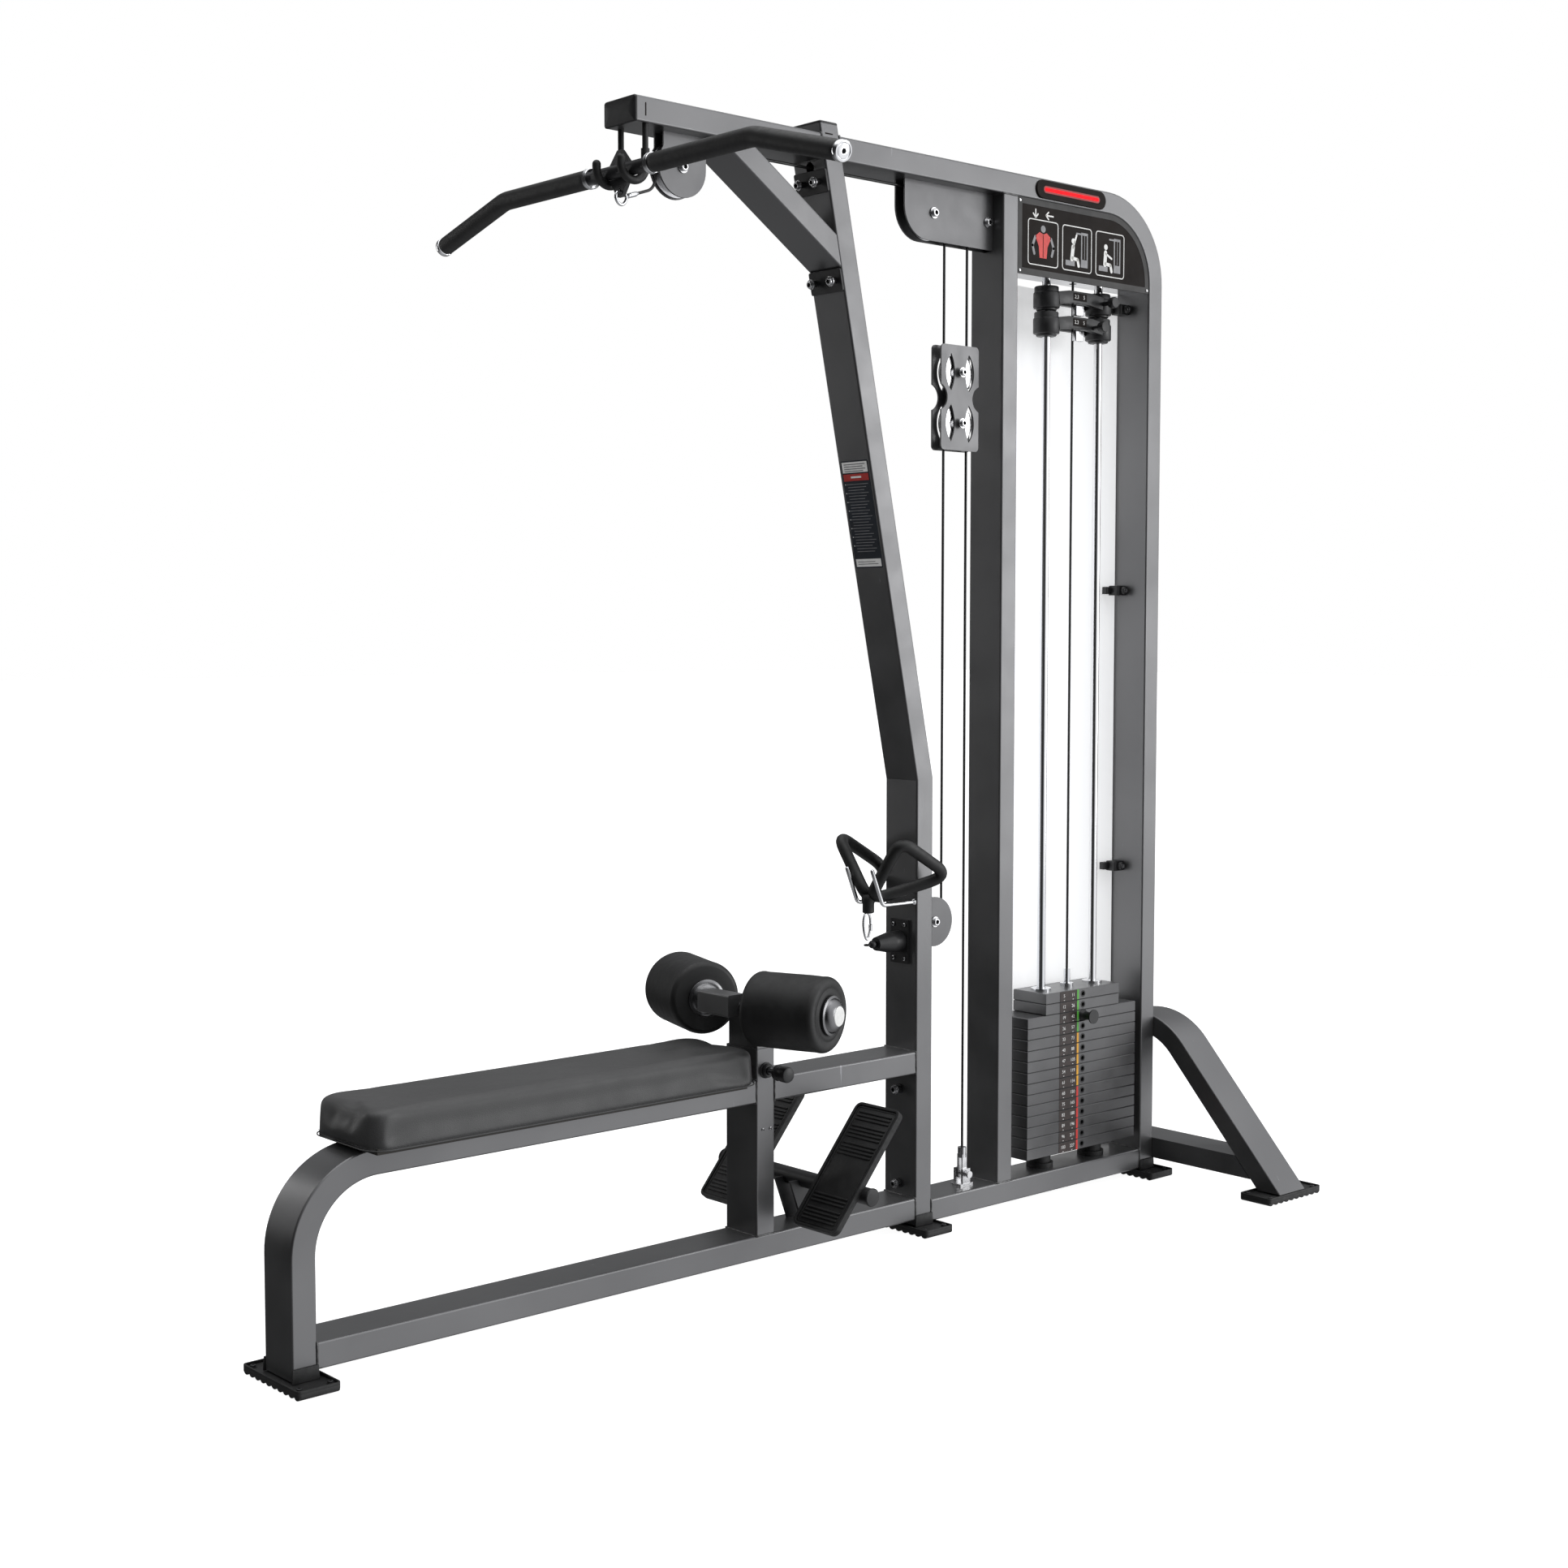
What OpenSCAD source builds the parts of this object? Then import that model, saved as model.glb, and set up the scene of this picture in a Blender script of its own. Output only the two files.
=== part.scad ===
// Selectorised lat pulldown with low row.
// X runs from the seat end towards the weight tower, Y across the machine, Z up from the floor.
// The origin is at floor level in the middle of the footprint. Sizes are in millimetres.

/* [Frame tubes] */
// Width of every frame tube across the machine
tube_w = 100; // [90:5:110]
// Depth of every frame tube in the side view
tube_d = 50; // [45:1:55]
// Wall thickness of the frame tubes
tube_wall = 3; // [2:0.5:4]
// Radius of the tube corners
tube_corner = 4; // [3.5:0.5:6]

/* [Side view] */
// Top of the overhead beam above the floor
beam_top = 2382; // [2300:2:2400]
// Top of the seat rail above the floor
seat_rail_top = 412; // [400:2:430]
// Front face of the arm, behind the front face of the front leg
arm_front = 779; // [740:1:800]
// Front face of the seat post, behind the leg
seat_post_at = 1085; // [1080:1:1095]
// Front face of the mid post at the floor, behind the leg
mid_post_at = 1555; // [1550:1:1560]
// Lean of the upper mid post from upright, in degrees
mid_post_lean = 12; // [11.5:0.1:12.5]
// Height at which the mid post starts to lean
mid_post_kink = 1020; // [1000:5:1040]
// Front face of the tower's front upright, behind the leg
front_upright_at = 1822; // [1818:1:1826]
// Front face of the tower's rear upright, behind the leg
rear_upright_at = 2338; // [2334:1:2342]

/* [Feet] */
// Length of a rubber foot along its tube's wide side
foot_len = 205; // [190:5:210]
// Width of a rubber foot
foot_wid = 88; // [80:2:92]
// Height of a rubber foot's rim
foot_rim = 19; // [17:1:21]

/* [Seat] */
// Length of the seat pad
pad_len = 916; // [880:2:920]
// Width of the seat pad
pad_wid = 230; // [220:2:260]
// Top of the seat pad above the floor
pad_top = 482; // [470:1:486]

/* [Rollers] */
// Radius of a foam roller
roller_r = 78; // [70:1:80]
// Length of a foam roller
roller_len = 176; // [160:2:180]
// Height of the roller axles at the lowest setting
roller_z = 571; // [568:1:576]
// Sweep of each roller axle towards the tower, in degrees
roller_sweep = 18; // [15:1:20]
// Distance between two height settings of the thigh post
thigh_pitch = 25; // [25:1:25]

/* [Weight stack] */
// Length of a full weight plate
plate_len = 390; // [380:2:392]
// Depth of a weight plate across the machine
plate_dep = 104; // [96:2:106]
// Height of one weight plate
plate_pitch = 26; // [25:0.5:26]
// Number of full weight plates
plate_count = 13; // [10:1:13]
// Length of the two head slabs
head_len = 264; // [250:2:270]
// Distance between the guide rods
rod_spacing = 185; // [180:1:190]
// Radius of a guide rod
rod_r = 10; // [9:0.5:10]

/* [Cables and pulleys] */
// Radius of a coated steel cable
cable_r = 3; // [2.5:0.25:3]
// Height of the cable run under the beam
cable_z = 2318; // [2314:1:2320]
// Radius at which the cable lies on a large pulley
big_pulley_r = 50; // [48:1:50]
// Radius at which the cable lies on a small pulley
small_pulley_r = 36.5; // [36:0.5:37]
// Height of the row cable's outlet
row_z = 656; // [650:1:660]

/* [Lat bar] */
// Half the width of the lat bar from tip to tip
bar_half = 638; // [600:2:640]
// Height of the straight part of the bar in its hooks
bar_z = 2243; // [2240:1:2246]
// Radius of the bar's steel tube
bar_r = 14; // [13:0.5:14]
// Radius of the rubber grips
grip_r = 19; // [17:0.5:19]

/* [Hidden] */
$fn = 48;

paint = "#5f5f60";
black = "#202022";
chrome = "#d5d7da";
rubber = "#28282a";
eps = 0.01;

// --- places along X ---
foot_over = (foot_wid - tube_d) / 2;
arch_at = rear_upright_at + tube_d;              // front face of the rear arch
arch_mid = arch_at + tube_w / 2;
overall_len = foot_over + arch_mid + foot_len / 2;
leg_x = foot_over - overall_len / 2;
arm_x = leg_x + arm_front;
seat_post_x = leg_x + seat_post_at;
mid_x = leg_x + mid_post_at;
front_up_x = leg_x + front_upright_at;
rear_up_x = leg_x + rear_upright_at;
arch_x = leg_x + arch_mid;
bar_x = arm_x + 1;
stack_x = rear_up_x - 221;
rod_x = [stack_x - rod_spacing / 2, stack_x + rod_spacing / 2];

// --- heights ---
sole_z = 18;                                      // tubes stand on their rubber feet here
front_rail_top = 80;
rear_rail_top = 69;
beam_bottom = beam_top - tube_d;
seat_rail_z = seat_rail_top - tube_d / 2;
post_top = 2402;
leg_bend_in = 130;                                // inner radius of the front leg's bend
tower_bend_in = 150;                              // inner radius of the tower's top bend

// --- pulleys ---
front_pulley_pos = [arm_x + 143, cable_z - big_pulley_r];
line_front_x = mid_x + 128;                       // cable line in front of the floating block
line_rear_x = line_front_x + 2 * small_pulley_r;
top_front_pos = [line_front_x - big_pulley_r, cable_z - big_pulley_r];
top_rear_pos = [line_rear_x + big_pulley_r, cable_z - big_pulley_r];
stack_pulley_pos = [stack_x - big_pulley_r, cable_z - big_pulley_r];
block_x = (line_front_x + line_rear_x) / 2;
block_upper_pos = [block_x, 1926];
block_lower_pos = [block_x, 1813];
low_pulley_pos = [line_front_x - small_pulley_r, row_z + small_pulley_r];
flange_extra = 7;                                 // a pulley's flange stands this far past the cable
pulley_t = 20;
axle_r = 6;
guard_in = 12;                                    // inner face of the pulley side plates
guard_t = 4;
cable_slot = 8;                                   // half width of a cable slot in a tube

// --- weight stack ---
rest_z = 105;                                     // underside of the lowest plate
gap = 0.5;                                        // air line between two plates
wide_top = rest_z + plate_count * plate_pitch;
head_top = wide_top + 2 * plate_pitch;
pin_r = 4.5;
pin_z = wide_top - plate_pitch / 2;
rod_bore = rod_r + 0.7;
stem_r = 9;
stem_bore = 12;
rod_top = 2178;

// --- thigh pad carriage ---
clear = 1;                                        // sliding clearance on each side
inner_w = tube_w - 2 * tube_wall - 2 * clear;
inner_d = tube_d - 2 * tube_wall - 2 * clear;
sleeve_top = 476;
pop_z = 430;
axle_apex = [seat_post_x - 54, roller_z];
roller_in = 85;                                   // inner end of a roller along its axle
head_box = 46;

// --- add-on weights ---
addon_z = [2035, 2094];
addon_h = 56;
knob_off = [[2160 - 2117, 2064 - 2035], [2196 - 2117, 2124 - 2094]];

// ================= helpers =================

// Rectangle with true round corners, centred
module round_rect(a, b, r) {
    square([a - 2 * r, b], center = true);
    square([a, b - 2 * r], center = true);
    for (sx = [-1, 1], sy = [-1, 1])
        translate([sx * (a / 2 - r), sy * (b / 2 - r)]) circle(r);
}

// Wall of a box tube, a along x and b along y
module tube_section(a, b) {
    difference() {
        round_rect(a, b, tube_corner);
        square([a - 2 * tube_wall, b - 2 * tube_wall], center = true);
    }
}

// Frame tube along X, z is the middle of its depth
module tube_x(x0, x1, z) {
    translate([x0, 0, z]) rotate([90, 0, 90])
        linear_extrude(x1 - x0) tube_section(tube_w, tube_d);
}

// Upright frame tube whose front face is at x
module tube_z(x, z0, z1) {
    translate([x + tube_d / 2, 0, z0]) linear_extrude(z1 - z0) tube_section(tube_d, tube_w);
}

// Quarter bend of frame tube in the side view, from angle a0 to a0 + 90
module tube_bend(x, z, inner, a0) {
    translate([x, 0, z]) rotate([90, 0, 0]) rotate([0, 0, a0])
        rotate_extrude(angle = 90, $fn = 96)
            translate([inner + tube_d / 2, 0]) tube_section(tube_d, tube_w);
}

// Cylinder along Y between two Y values
module rod_y(x, z, y0, y1, r) {
    translate([x, y1, z]) rotate([90, 0, 0]) cylinder(r = r, h = y1 - y0);
}

// Cylinder along X between two X values
module rod_x_dir(x0, x1, y, z, r) {
    translate([x0, y, z]) rotate([0, 90, 0]) cylinder(r = r, h = x1 - x0);
}

// Cable arc in the side view, angles measured from +X towards +Z
module cable_arc(pos, r, a0, a1) {
    translate([pos[0], 0, pos[1]]) rotate([90, 0, 0]) rotate([0, 0, a0])
        rotate_extrude(angle = a1 - a0, $fn = 96) translate([r, 0]) circle(cable_r, $fn = 24);
}

module cable_v(x, z0, z1) {
    translate([x, 0, z0]) cylinder(r = cable_r, h = z1 - z0, $fn = 24);
}

module cable_h(x0, x1, z) {
    rod_x_dir(x0, x1, 0, z, cable_r, $fn = 24);
}

// Everything in front of (or behind) the leaning part of the mid post is cut with this slab
module lean_slab(extra = 0) {
    translate([mid_x + tube_d / 2, 0, mid_post_kink]) rotate([0, -mid_post_lean, 0])
        translate([-tube_d / 2 - extra, -tube_w, -200])
            cube([tube_d + 2 * extra, 2 * tube_w, 2000]);
}

// Front face of the leaning post at height z
function lean_front_x(z) =
    mid_x + tube_d / 2 - (tube_d / 2) / cos(mid_post_lean) - (z - mid_post_kink) * tan(mid_post_lean);

// Hex head bolt pointing along -Y (head at y0, shank running to y1)
module bolt_y(x, z, y0, y1, r, head_r, head_h) {
    rod_y(x, z, y0 - head_h, y0, head_r);
    rod_y(x, z, y0 - eps, y1, r);
}

// Grooved pulley on an axis along Y, cable_line is the radius of the cable's middle
module pulley(pos, cable_line) {
    root = cable_line - cable_r - 0.6;
    rim = cable_line + flange_extra;
    half = pulley_t / 2;
    translate([pos[0], 0, pos[1]]) rotate([90, 0, 0])
        rotate_extrude($fn = 72)
            polygon([[axle_r + 0.05, -half], [axle_r + 9, -half], [axle_r + 12, -4],
                     [root - 10, -4], [root - 7, -half], [rim, -half], [rim, -half + 2],
                     [root, -cable_r - 0.3], [root, cable_r + 0.3], [rim, half - 2],
                     [rim, half], [root - 7, half], [root - 10, 4], [axle_r + 12, 4],
                     [axle_r + 9, half], [axle_r + 0.05, half]]);
}

// Two side plates of a pulley guard; child is the outline in the side view
module side_plates() {
    for (s = [-1, 1])
        translate([0, s * (guard_in + guard_t / 2) + guard_t / 2, 0]) rotate([90, 0, 0])
            linear_extrude(guard_t) children();
}

// ================= welded frame =================

// Front leg, bend and seat rail up to the seat post
module front_frame() color(paint) {
    centre_x = leg_x + tube_d + leg_bend_in;
    centre_z = seat_rail_top - tube_d - leg_bend_in;
    tube_z(leg_x, sole_z, centre_z);
    tube_bend(centre_x, centre_z, leg_bend_in, 90);
    tube_x(centre_x, seat_post_x, seat_rail_z);
}

module seat_rail_rear() color(paint)
    tube_x(seat_post_x + tube_d, mid_x, seat_rail_z);

// Outer sleeve that the thigh post slides in
module seat_post() color(paint) {
    difference() {
        tube_z(seat_post_x, front_rail_top, sleeve_top);
        rod_y(seat_post_x + tube_d / 2, pop_z, -tube_w, 0, 9);
    }
}

module base_rail_front() color(paint)
    tube_x(leg_x + tube_d, mid_x, front_rail_top - tube_d / 2);

module base_rail_rear() color(paint)
    tube_x(mid_x + tube_d, rear_up_x, rear_rail_top - tube_d / 2);

// Mid post, upright to the kink and leaning above it
module mid_post() color(paint) {
    reach = 1600;
    difference() {
        union() {
            intersection() {
                tube_z(mid_x, sole_z, mid_post_kink + 100);
                translate([mid_x + tube_d / 2, 0, mid_post_kink]) rotate([0, -mid_post_lean / 2, 0])
                    translate([-400, -200, -1400]) cube([800, 400, 1400]);
            }
            intersection() {
                translate([mid_x + tube_d / 2, 0, mid_post_kink]) rotate([0, -mid_post_lean, 0])
                    translate([-tube_d / 2, 0, -100]) tube_z(0, 0, reach);
                translate([mid_x + tube_d / 2, 0, mid_post_kink]) rotate([0, -mid_post_lean / 2, 0])
                    translate([-400, -200, 0]) cube([800, 400, 1600]);
                translate([mid_x - 1000, -200, 0]) cube([2000, 400, post_top]);
            }
        }
        // lat cable passes through both walls
        rod_x_dir(lean_front_x(cable_z) - 20, lean_front_x(cable_z) + 90, 0, cable_z, 12);
        // row cable passes through both walls
        rod_x_dir(mid_x - 10, mid_x + tube_d + 10, 0, row_z, 10);
        // the low pulley dips into the rear wall
        translate([mid_x + tube_d - 10, -guard_in, low_pulley_pos[1] - 28]) cube([20, 2 * guard_in, 56]);
    }
}

module front_upright() color(paint) {
    difference() {
        tube_z(front_up_x, rear_rail_top, beam_bottom);
        rod_x_dir(front_up_x - 10, front_up_x + tube_d + 10, 0, cable_z, cable_slot);
        // the second top pulley dips into the front wall
        translate([front_up_x - 1, -guard_in, top_rear_pos[1] - 62]) cube([10, 2 * guard_in, 124]);
    }
}

// Rear beam, top bend and rear upright in one bent tube
module tower_frame() color(paint) {
    centre_x = rear_up_x - tower_bend_in;
    centre_z = beam_bottom - tower_bend_in;
    difference() {
        tube_x(lean_front_x(beam_top) + 20, centre_x, beam_top - tube_d / 2);
        lean_slab();
        translate([lean_front_x(beam_top) - 300, -tube_w, beam_bottom - 10])
            cube([300, 2 * tube_w, tube_d + 20]);
    }
    tube_bend(centre_x, centre_z, tower_bend_in, 0);
    tube_z(rear_up_x, sole_z, centre_z);
}

// Overhead arm in front of the mid post
module front_arm() color(paint) {
    difference() {
        tube_x(arm_x + 3, lean_front_x(beam_bottom) + 10, beam_top - tube_d / 2);
        lean_slab();
    }
}

// Diagonal brace between the arm and the mid post
brace_angle = 33.3;
brace_low = [lean_front_x(2111) , 2111];          // where the brace's lower face meets the post
module arm_brace() color(paint) {
    difference() {
        translate([brace_low[0], 0, brace_low[1]]) rotate([0, brace_angle, 0])
            translate([-480, 0, tube_d / 2]) rotate([90, 0, 90])
                linear_extrude(560) tube_section(tube_w, tube_d);
        lean_slab();
        translate([lean_front_x(2111) + 20, -tube_w, 1900]) cube([300, 2 * tube_w, 500]);
        translate([brace_low[0] - 700, -tube_w, beam_bottom]) cube([1000, 2 * tube_w, 200]);
        // slot for the lat cable
        translate([brace_low[0] - 700, -cable_slot, cable_z - cable_slot]) cube([1000, 2 * cable_slot, 200]);
    }
}

// Rear arch: one tube bent across the machine behind the rear upright
arch_angle = 47.5;
arch_out = 185;
arch_axis_z = 217;
arch_leg = 500;
module rear_arch() color(paint) {
    mid_r = arch_out - tube_d / 2;
    difference() {
        union() {
            translate([arch_x, 0, arch_axis_z]) rotate([90, 0, 90])
                rotate([0, 0, 90 - arch_angle])
                    rotate_extrude(angle = 2 * arch_angle, $fn = 96)
                        translate([mid_r, 0]) tube_section(tube_d, tube_w);
            for (side = [0, 1])
                mirror([0, side, 0])
                    translate([arch_x, mid_r * sin(arch_angle), arch_axis_z + mid_r * cos(arch_angle)])
                        rotate([-(90 + arch_angle), 0, 0])
                            linear_extrude(arch_leg) tube_section(tube_w, tube_d);
        }
        translate([arch_x - 200, -600, sole_z - 400]) cube([400, 1200, 400]);
    }
}

module rear_cross_tube() color(paint) {
    top = 90;
    mid_r = arch_out - tube_d / 2;
    crown = [mid_r * sin(arch_angle), arch_axis_z + mid_r * cos(arch_angle)];
    // inner faces of the legs at the top and underside of the tube
    reach_high = crown[0] + (crown[1] - top) / tan(arch_angle) - tube_d / 2 / sin(arch_angle);
    reach_low = reach_high + tube_d / tan(arch_angle);
    difference() {
        translate([arch_x - tube_w / 2, 0, 0]) rotate([90, 0, 90]) linear_extrude(tube_w)
            polygon([[-reach_low, top - tube_d], [reach_low, top - tube_d],
                     [reach_high, top], [-reach_high, top]]);
        translate([arch_x - tube_w / 2 + tube_wall, -400, top - tube_d + tube_wall])
            cube([tube_w - 2 * tube_wall, 800, tube_d - 2 * tube_wall]);
    }
}

// ================= frame fittings =================

// Places of the five feet: [x, y, turned across the machine]
foot_spots = [[leg_x + tube_d / 2, 0, 0], [mid_x + tube_d / 2, 0, 0],
              [rear_up_x + tube_d / 2, 0, 0], [arch_x, 398, 1], [arch_x, -398, 1]];

module at_feet() {
    for (p = foot_spots) translate([p[0], p[1], 0]) rotate([0, 0, p[2] * 90]) children();
}

// Rubber shoes with a raised rim and a grooved sole, and a boot round each leg
shoe_in = 3;                                      // rim thickness
sole_plate_t = 4;
module ground_feet() color(rubber) {
    grooves = 8;
    at_feet() difference() {
        translate([-foot_wid / 2, -foot_len / 2, 0]) cube([foot_wid, foot_len, foot_rim]);
        translate([-foot_wid / 2 + shoe_in, -foot_len / 2 + shoe_in, sole_z - sole_plate_t])
            cube([foot_wid - 2 * shoe_in, foot_len - 2 * shoe_in, 2 * sole_plate_t]);
        for (i = [0 : grooves - 1])
            translate([-foot_wid, (i - (grooves - 1) / 2) * foot_len / grooves, -2])
                rotate([0, 90, 0]) cylinder(r = 5, h = 2 * foot_wid, $fn = 24);
    }
}

// Black plugs in the open ends of the arm, the mid post and the foot rest tube
module tube_end_caps() color(black) {
    translate([arm_x - 3, 0, beam_top - tube_d / 2]) rotate([90, 0, 90])
        linear_extrude(6) round_rect(tube_w, tube_d, tube_corner);
    translate([lean_front_x(post_top), -tube_w / 2, post_top])
        cube([tube_d / cos(mid_post_lean), tube_w, 8]);
    for (s = [-1, 1]) rod_y(cross_x, cross_z, s * 238 - 3, s * 238 + 3, cross_r + 1);
}

// Bolts of the frame, pulley axles, sole screws and shroud clips
module frame_fasteners() color(chrome) {
    // mid post to rails, on the seat side
    for (z = [107, 322])
        rod_x_dir(mid_x - 24, mid_x, 0, z, 8);
    // arm bolts and brace bolts on the leaning post
    for (spot = [[2288, 24], [2087, 30]], s = [-1, 1])
        translate([lean_front_x(spot[0]), s * spot[1], spot[0]]) rotate([0, -90 - mid_post_lean, 0])
            cylinder(r = 7, h = 26);
    // axles of the pulleys fixed to the frame
    for (p = [front_pulley_pos, top_front_pos, top_rear_pos, stack_pulley_pos, low_pulley_pos])
        bolt_y(p[0], p[1], -guard_in - guard_t - 2, guard_in + guard_t + 6, axle_r, 8, 8);
    // steel sole plates in the rubber shoes, with two screws on each side of a leg
    at_feet() {
        translate([-foot_wid / 2 + shoe_in + 0.2, -foot_len / 2 + shoe_in + 0.2, sole_z - sole_plate_t])
            cube([foot_wid - 2 * shoe_in - 0.4, foot_len - 2 * shoe_in - 0.4, sole_plate_t]);
        for (sx = [-1, 1], sy = [-1, 1])
            translate([sx * 30, sy * 78, sole_z - eps]) cylinder(r = 6, h = 4);
    }
    // shroud clips on the rear upright
    for (z = [770, 1448, 2100])
        translate([rear_up_x - 26, 22, z - 13]) cube([26, 18, 26]);
    // collar of the pop pin
    difference() {
        rod_y(seat_post_x + tube_d / 2, pop_z, -tube_w / 2 - 12, -tube_w / 2, 17);
        rod_y(seat_post_x + tube_d / 2, pop_z, -tube_w, 0, 9);
    }
}

module seat_board() color("#3a2f26")
    translate([seat_post_x - 55 + 16 - pad_len + 16, -pad_wid / 2 + 12, seat_rail_top])
        cube([pad_len - 48, pad_wid - 24, 12]);

// Upholstered pad, hollowed underneath for its board
module seat_pad() color(rubber) {
    end_x = seat_post_x - 39;
    r = 45;
    difference() {
        translate([end_x - pad_len / 2, 0, seat_rail_top + 3])
            linear_extrude(pad_top - seat_rail_top - 3) round_rect(pad_len, pad_wid, r);
        translate([seat_post_x - 55 + 16 - pad_len + 16, -pad_wid / 2 + 12, seat_rail_top])
            cube([pad_len - 48, pad_wid - 24, 12]);
    }
}

// Foot rests: flat plates leaning back towards the tower on a round cross tube
rest_low = [mid_x - 407, 108];                    // lower edge of the rest's face
rest_lean = 50;
rest_len = 300;
rest_wid = 133;
rest_in = 87;                                     // inner edge of a rest from the middle
rest_t = 14;
cross_x = rest_low[0] + 92;
cross_z = 173;
cross_r = 18;

module foot_rest(side) color(black) {
    difference() {
        translate([rest_low[0], side * (rest_in + rest_wid / 2), rest_low[1]])
            rotate([0, -rest_lean, 0]) translate([rest_len / 2, 0, -rest_t])
                linear_extrude(rest_t) round_rect(rest_len, rest_wid, 14);
        rod_y(cross_x, cross_z, -400, 400, cross_r);
    }
}

module foot_plate_left() foot_rest(1);
module foot_plate_right() foot_rest(-1);

// Round tube carried on a plate bracket on the base rail
module foot_cross_tube() color(black) {
    difference() {
        rod_y(cross_x, cross_z, -235, 235, cross_r);
        rod_y(cross_x, cross_z, -300, 300, cross_r - 2.5);
    }
    for (s = [-1, 1])
        translate([0, s * 24 + 3, 0]) rotate([90, 0, 0]) linear_extrude(6) difference() {
            polygon([[cross_x - 40, cross_z], [cross_x + 24, cross_z],
                     [cross_x + 60, front_rail_top], [cross_x - 5, front_rail_top]]);
            translate([cross_x, cross_z]) circle(cross_r);
        }
}

// Two J hooks that hold the bar under the arm
hook_r = 30;
hook_z = bar_z + 7.2;
hook_y = 39;
module bar_hooks() color(black)
    for (s = [-1, 1]) {
        translate([bar_x + hook_r, s * hook_y, hook_z + 30])
            cylinder(r = 6, h = beam_bottom - hook_z - 30);
        translate([bar_x + hook_r, s * hook_y, hook_z]) cylinder(r = 8.5, h = 34);
        translate([bar_x, s * hook_y, hook_z]) rotate([90, 0, 0]) rotate([0, 0, 180])
            rotate_extrude(angle = 180) translate([hook_r, 0]) circle(8.5);
        translate([bar_x - hook_r, s * hook_y, hook_z]) cylinder(r = 8.5, h = 8);
        translate([bar_x - hook_r, s * hook_y, hook_z + 8]) sphere(r = 8.5);
    }

// Side plates of the pulleys on the frame
module pulley_guards() color(paint) {
    plate_r = 60;
    hole_r = axle_r + 0.02;
    // front pulley
    side_plates() difference() {
        union() {
            translate(front_pulley_pos) circle(plate_r);
            translate([front_pulley_pos[0] - plate_r + 12, front_pulley_pos[1]])
                square([2 * plate_r - 12, beam_bottom - front_pulley_pos[1]]);
        }
        translate(front_pulley_pos) circle(hole_r);
    }
    // housing under the rear beam, with a round lower corner
    house_x = mid_x - 12;
    house_z = 2207;
    corner = 70;
    side_plates() difference() {
        translate([house_x, house_z]) square([front_up_x - house_x, beam_bottom - house_z]);
        difference() {
            translate([house_x - 1, house_z - 1]) square([corner + 1, corner + 1]);
            translate([house_x + corner, house_z + corner]) circle(corner);
        }
        translate(top_front_pos) circle(hole_r);
        translate(top_rear_pos) circle(hole_r);
    }
    // stack pulley inside the tower head
    side_plates() difference() {
        union() {
            translate(stack_pulley_pos) circle(30);
            translate([stack_pulley_pos[0] - 30, stack_pulley_pos[1]])
                square([60, beam_bottom - stack_pulley_pos[1]]);
        }
        translate(stack_pulley_pos) circle(hole_r);
    }
    // low pulley behind the mid post
    side_plates()
        difference() {
            translate(low_pulley_pos) circle(56);
            translate([mid_x - 60 + tube_d, low_pulley_pos[1] - 60]) square([60, 120]);
            translate(low_pulley_pos) circle(hole_r);
        }
}

// Tapered guide where the row cable leaves the post
nose_x = mid_x - 78;                              // its front end
module row_cable_nose() color(black) {
    difference() {
        union() {
            translate([mid_x - 6, -27, row_z - 49]) cube([6, 54, 98]);
            translate([mid_x - 6, 0, row_z]) rotate([0, -90, 0]) cylinder(r = 24, h = 28);
            translate([mid_x - 34, 0, row_z]) rotate([0, -90, 0]) cylinder(r1 = 24, r2 = 15, h = 44);
        }
        rod_x_dir(mid_x - 200, mid_x + 1, 0, row_z, 6);
    }
}

// Two chrome rods that the row handle rests on
cradle_y = 40;
cradle_z = 747;
cradle_len = 96;
cradle_tip = 84;                                  // length of the rising end
cradle_rise = 22.3;                               // its lean from upright
module row_cradle() color(chrome) {
    wire = 4.5;
    for (s = [-1, 1]) {
        rod_x_dir(mid_x - cradle_len, mid_x, s * cradle_y, cradle_z, wire);
        translate([mid_x - cradle_len, s * cradle_y, cradle_z]) {
            sphere(r = wire);
            rotate([0, -cradle_rise, 0]) cylinder(r = wire, h = cradle_tip);
            rotate([0, -cradle_rise, 0]) translate([0, 0, cradle_tip]) sphere(r = wire);
        }
    }
}

// Guide rods with the holder bar that carries their tops
module guide_rods() color(chrome) {
    for (x = rod_x) translate([x, 0, rear_rail_top]) cylinder(r = rod_r, h = rod_top - rear_rail_top);
    difference() {
        translate([front_up_x + tube_d, -30, rod_top - 12])
            cube([rear_up_x - front_up_x - tube_d, 60, 12]);
        for (x = rod_x) translate([x, 0, 0]) cylinder(r = rod_r + 0.01, h = 3000);
        translate([stack_x, 0, 0]) cylinder(r = 9, h = 3000);
    }
}

module rod_bumpers() color(rubber)
    for (x = rod_x) translate([x, 0, 0]) difference() {
        union() {
            translate([0, 0, rear_rail_top]) cylinder(r = 32, h = 12);
            translate([0, 0, rear_rail_top + 12]) cylinder(r = 26, h = rest_z - rear_rail_top - 12.2);
        }
        cylinder(r = rod_r + 0.01, h = 400);
    }

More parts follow.
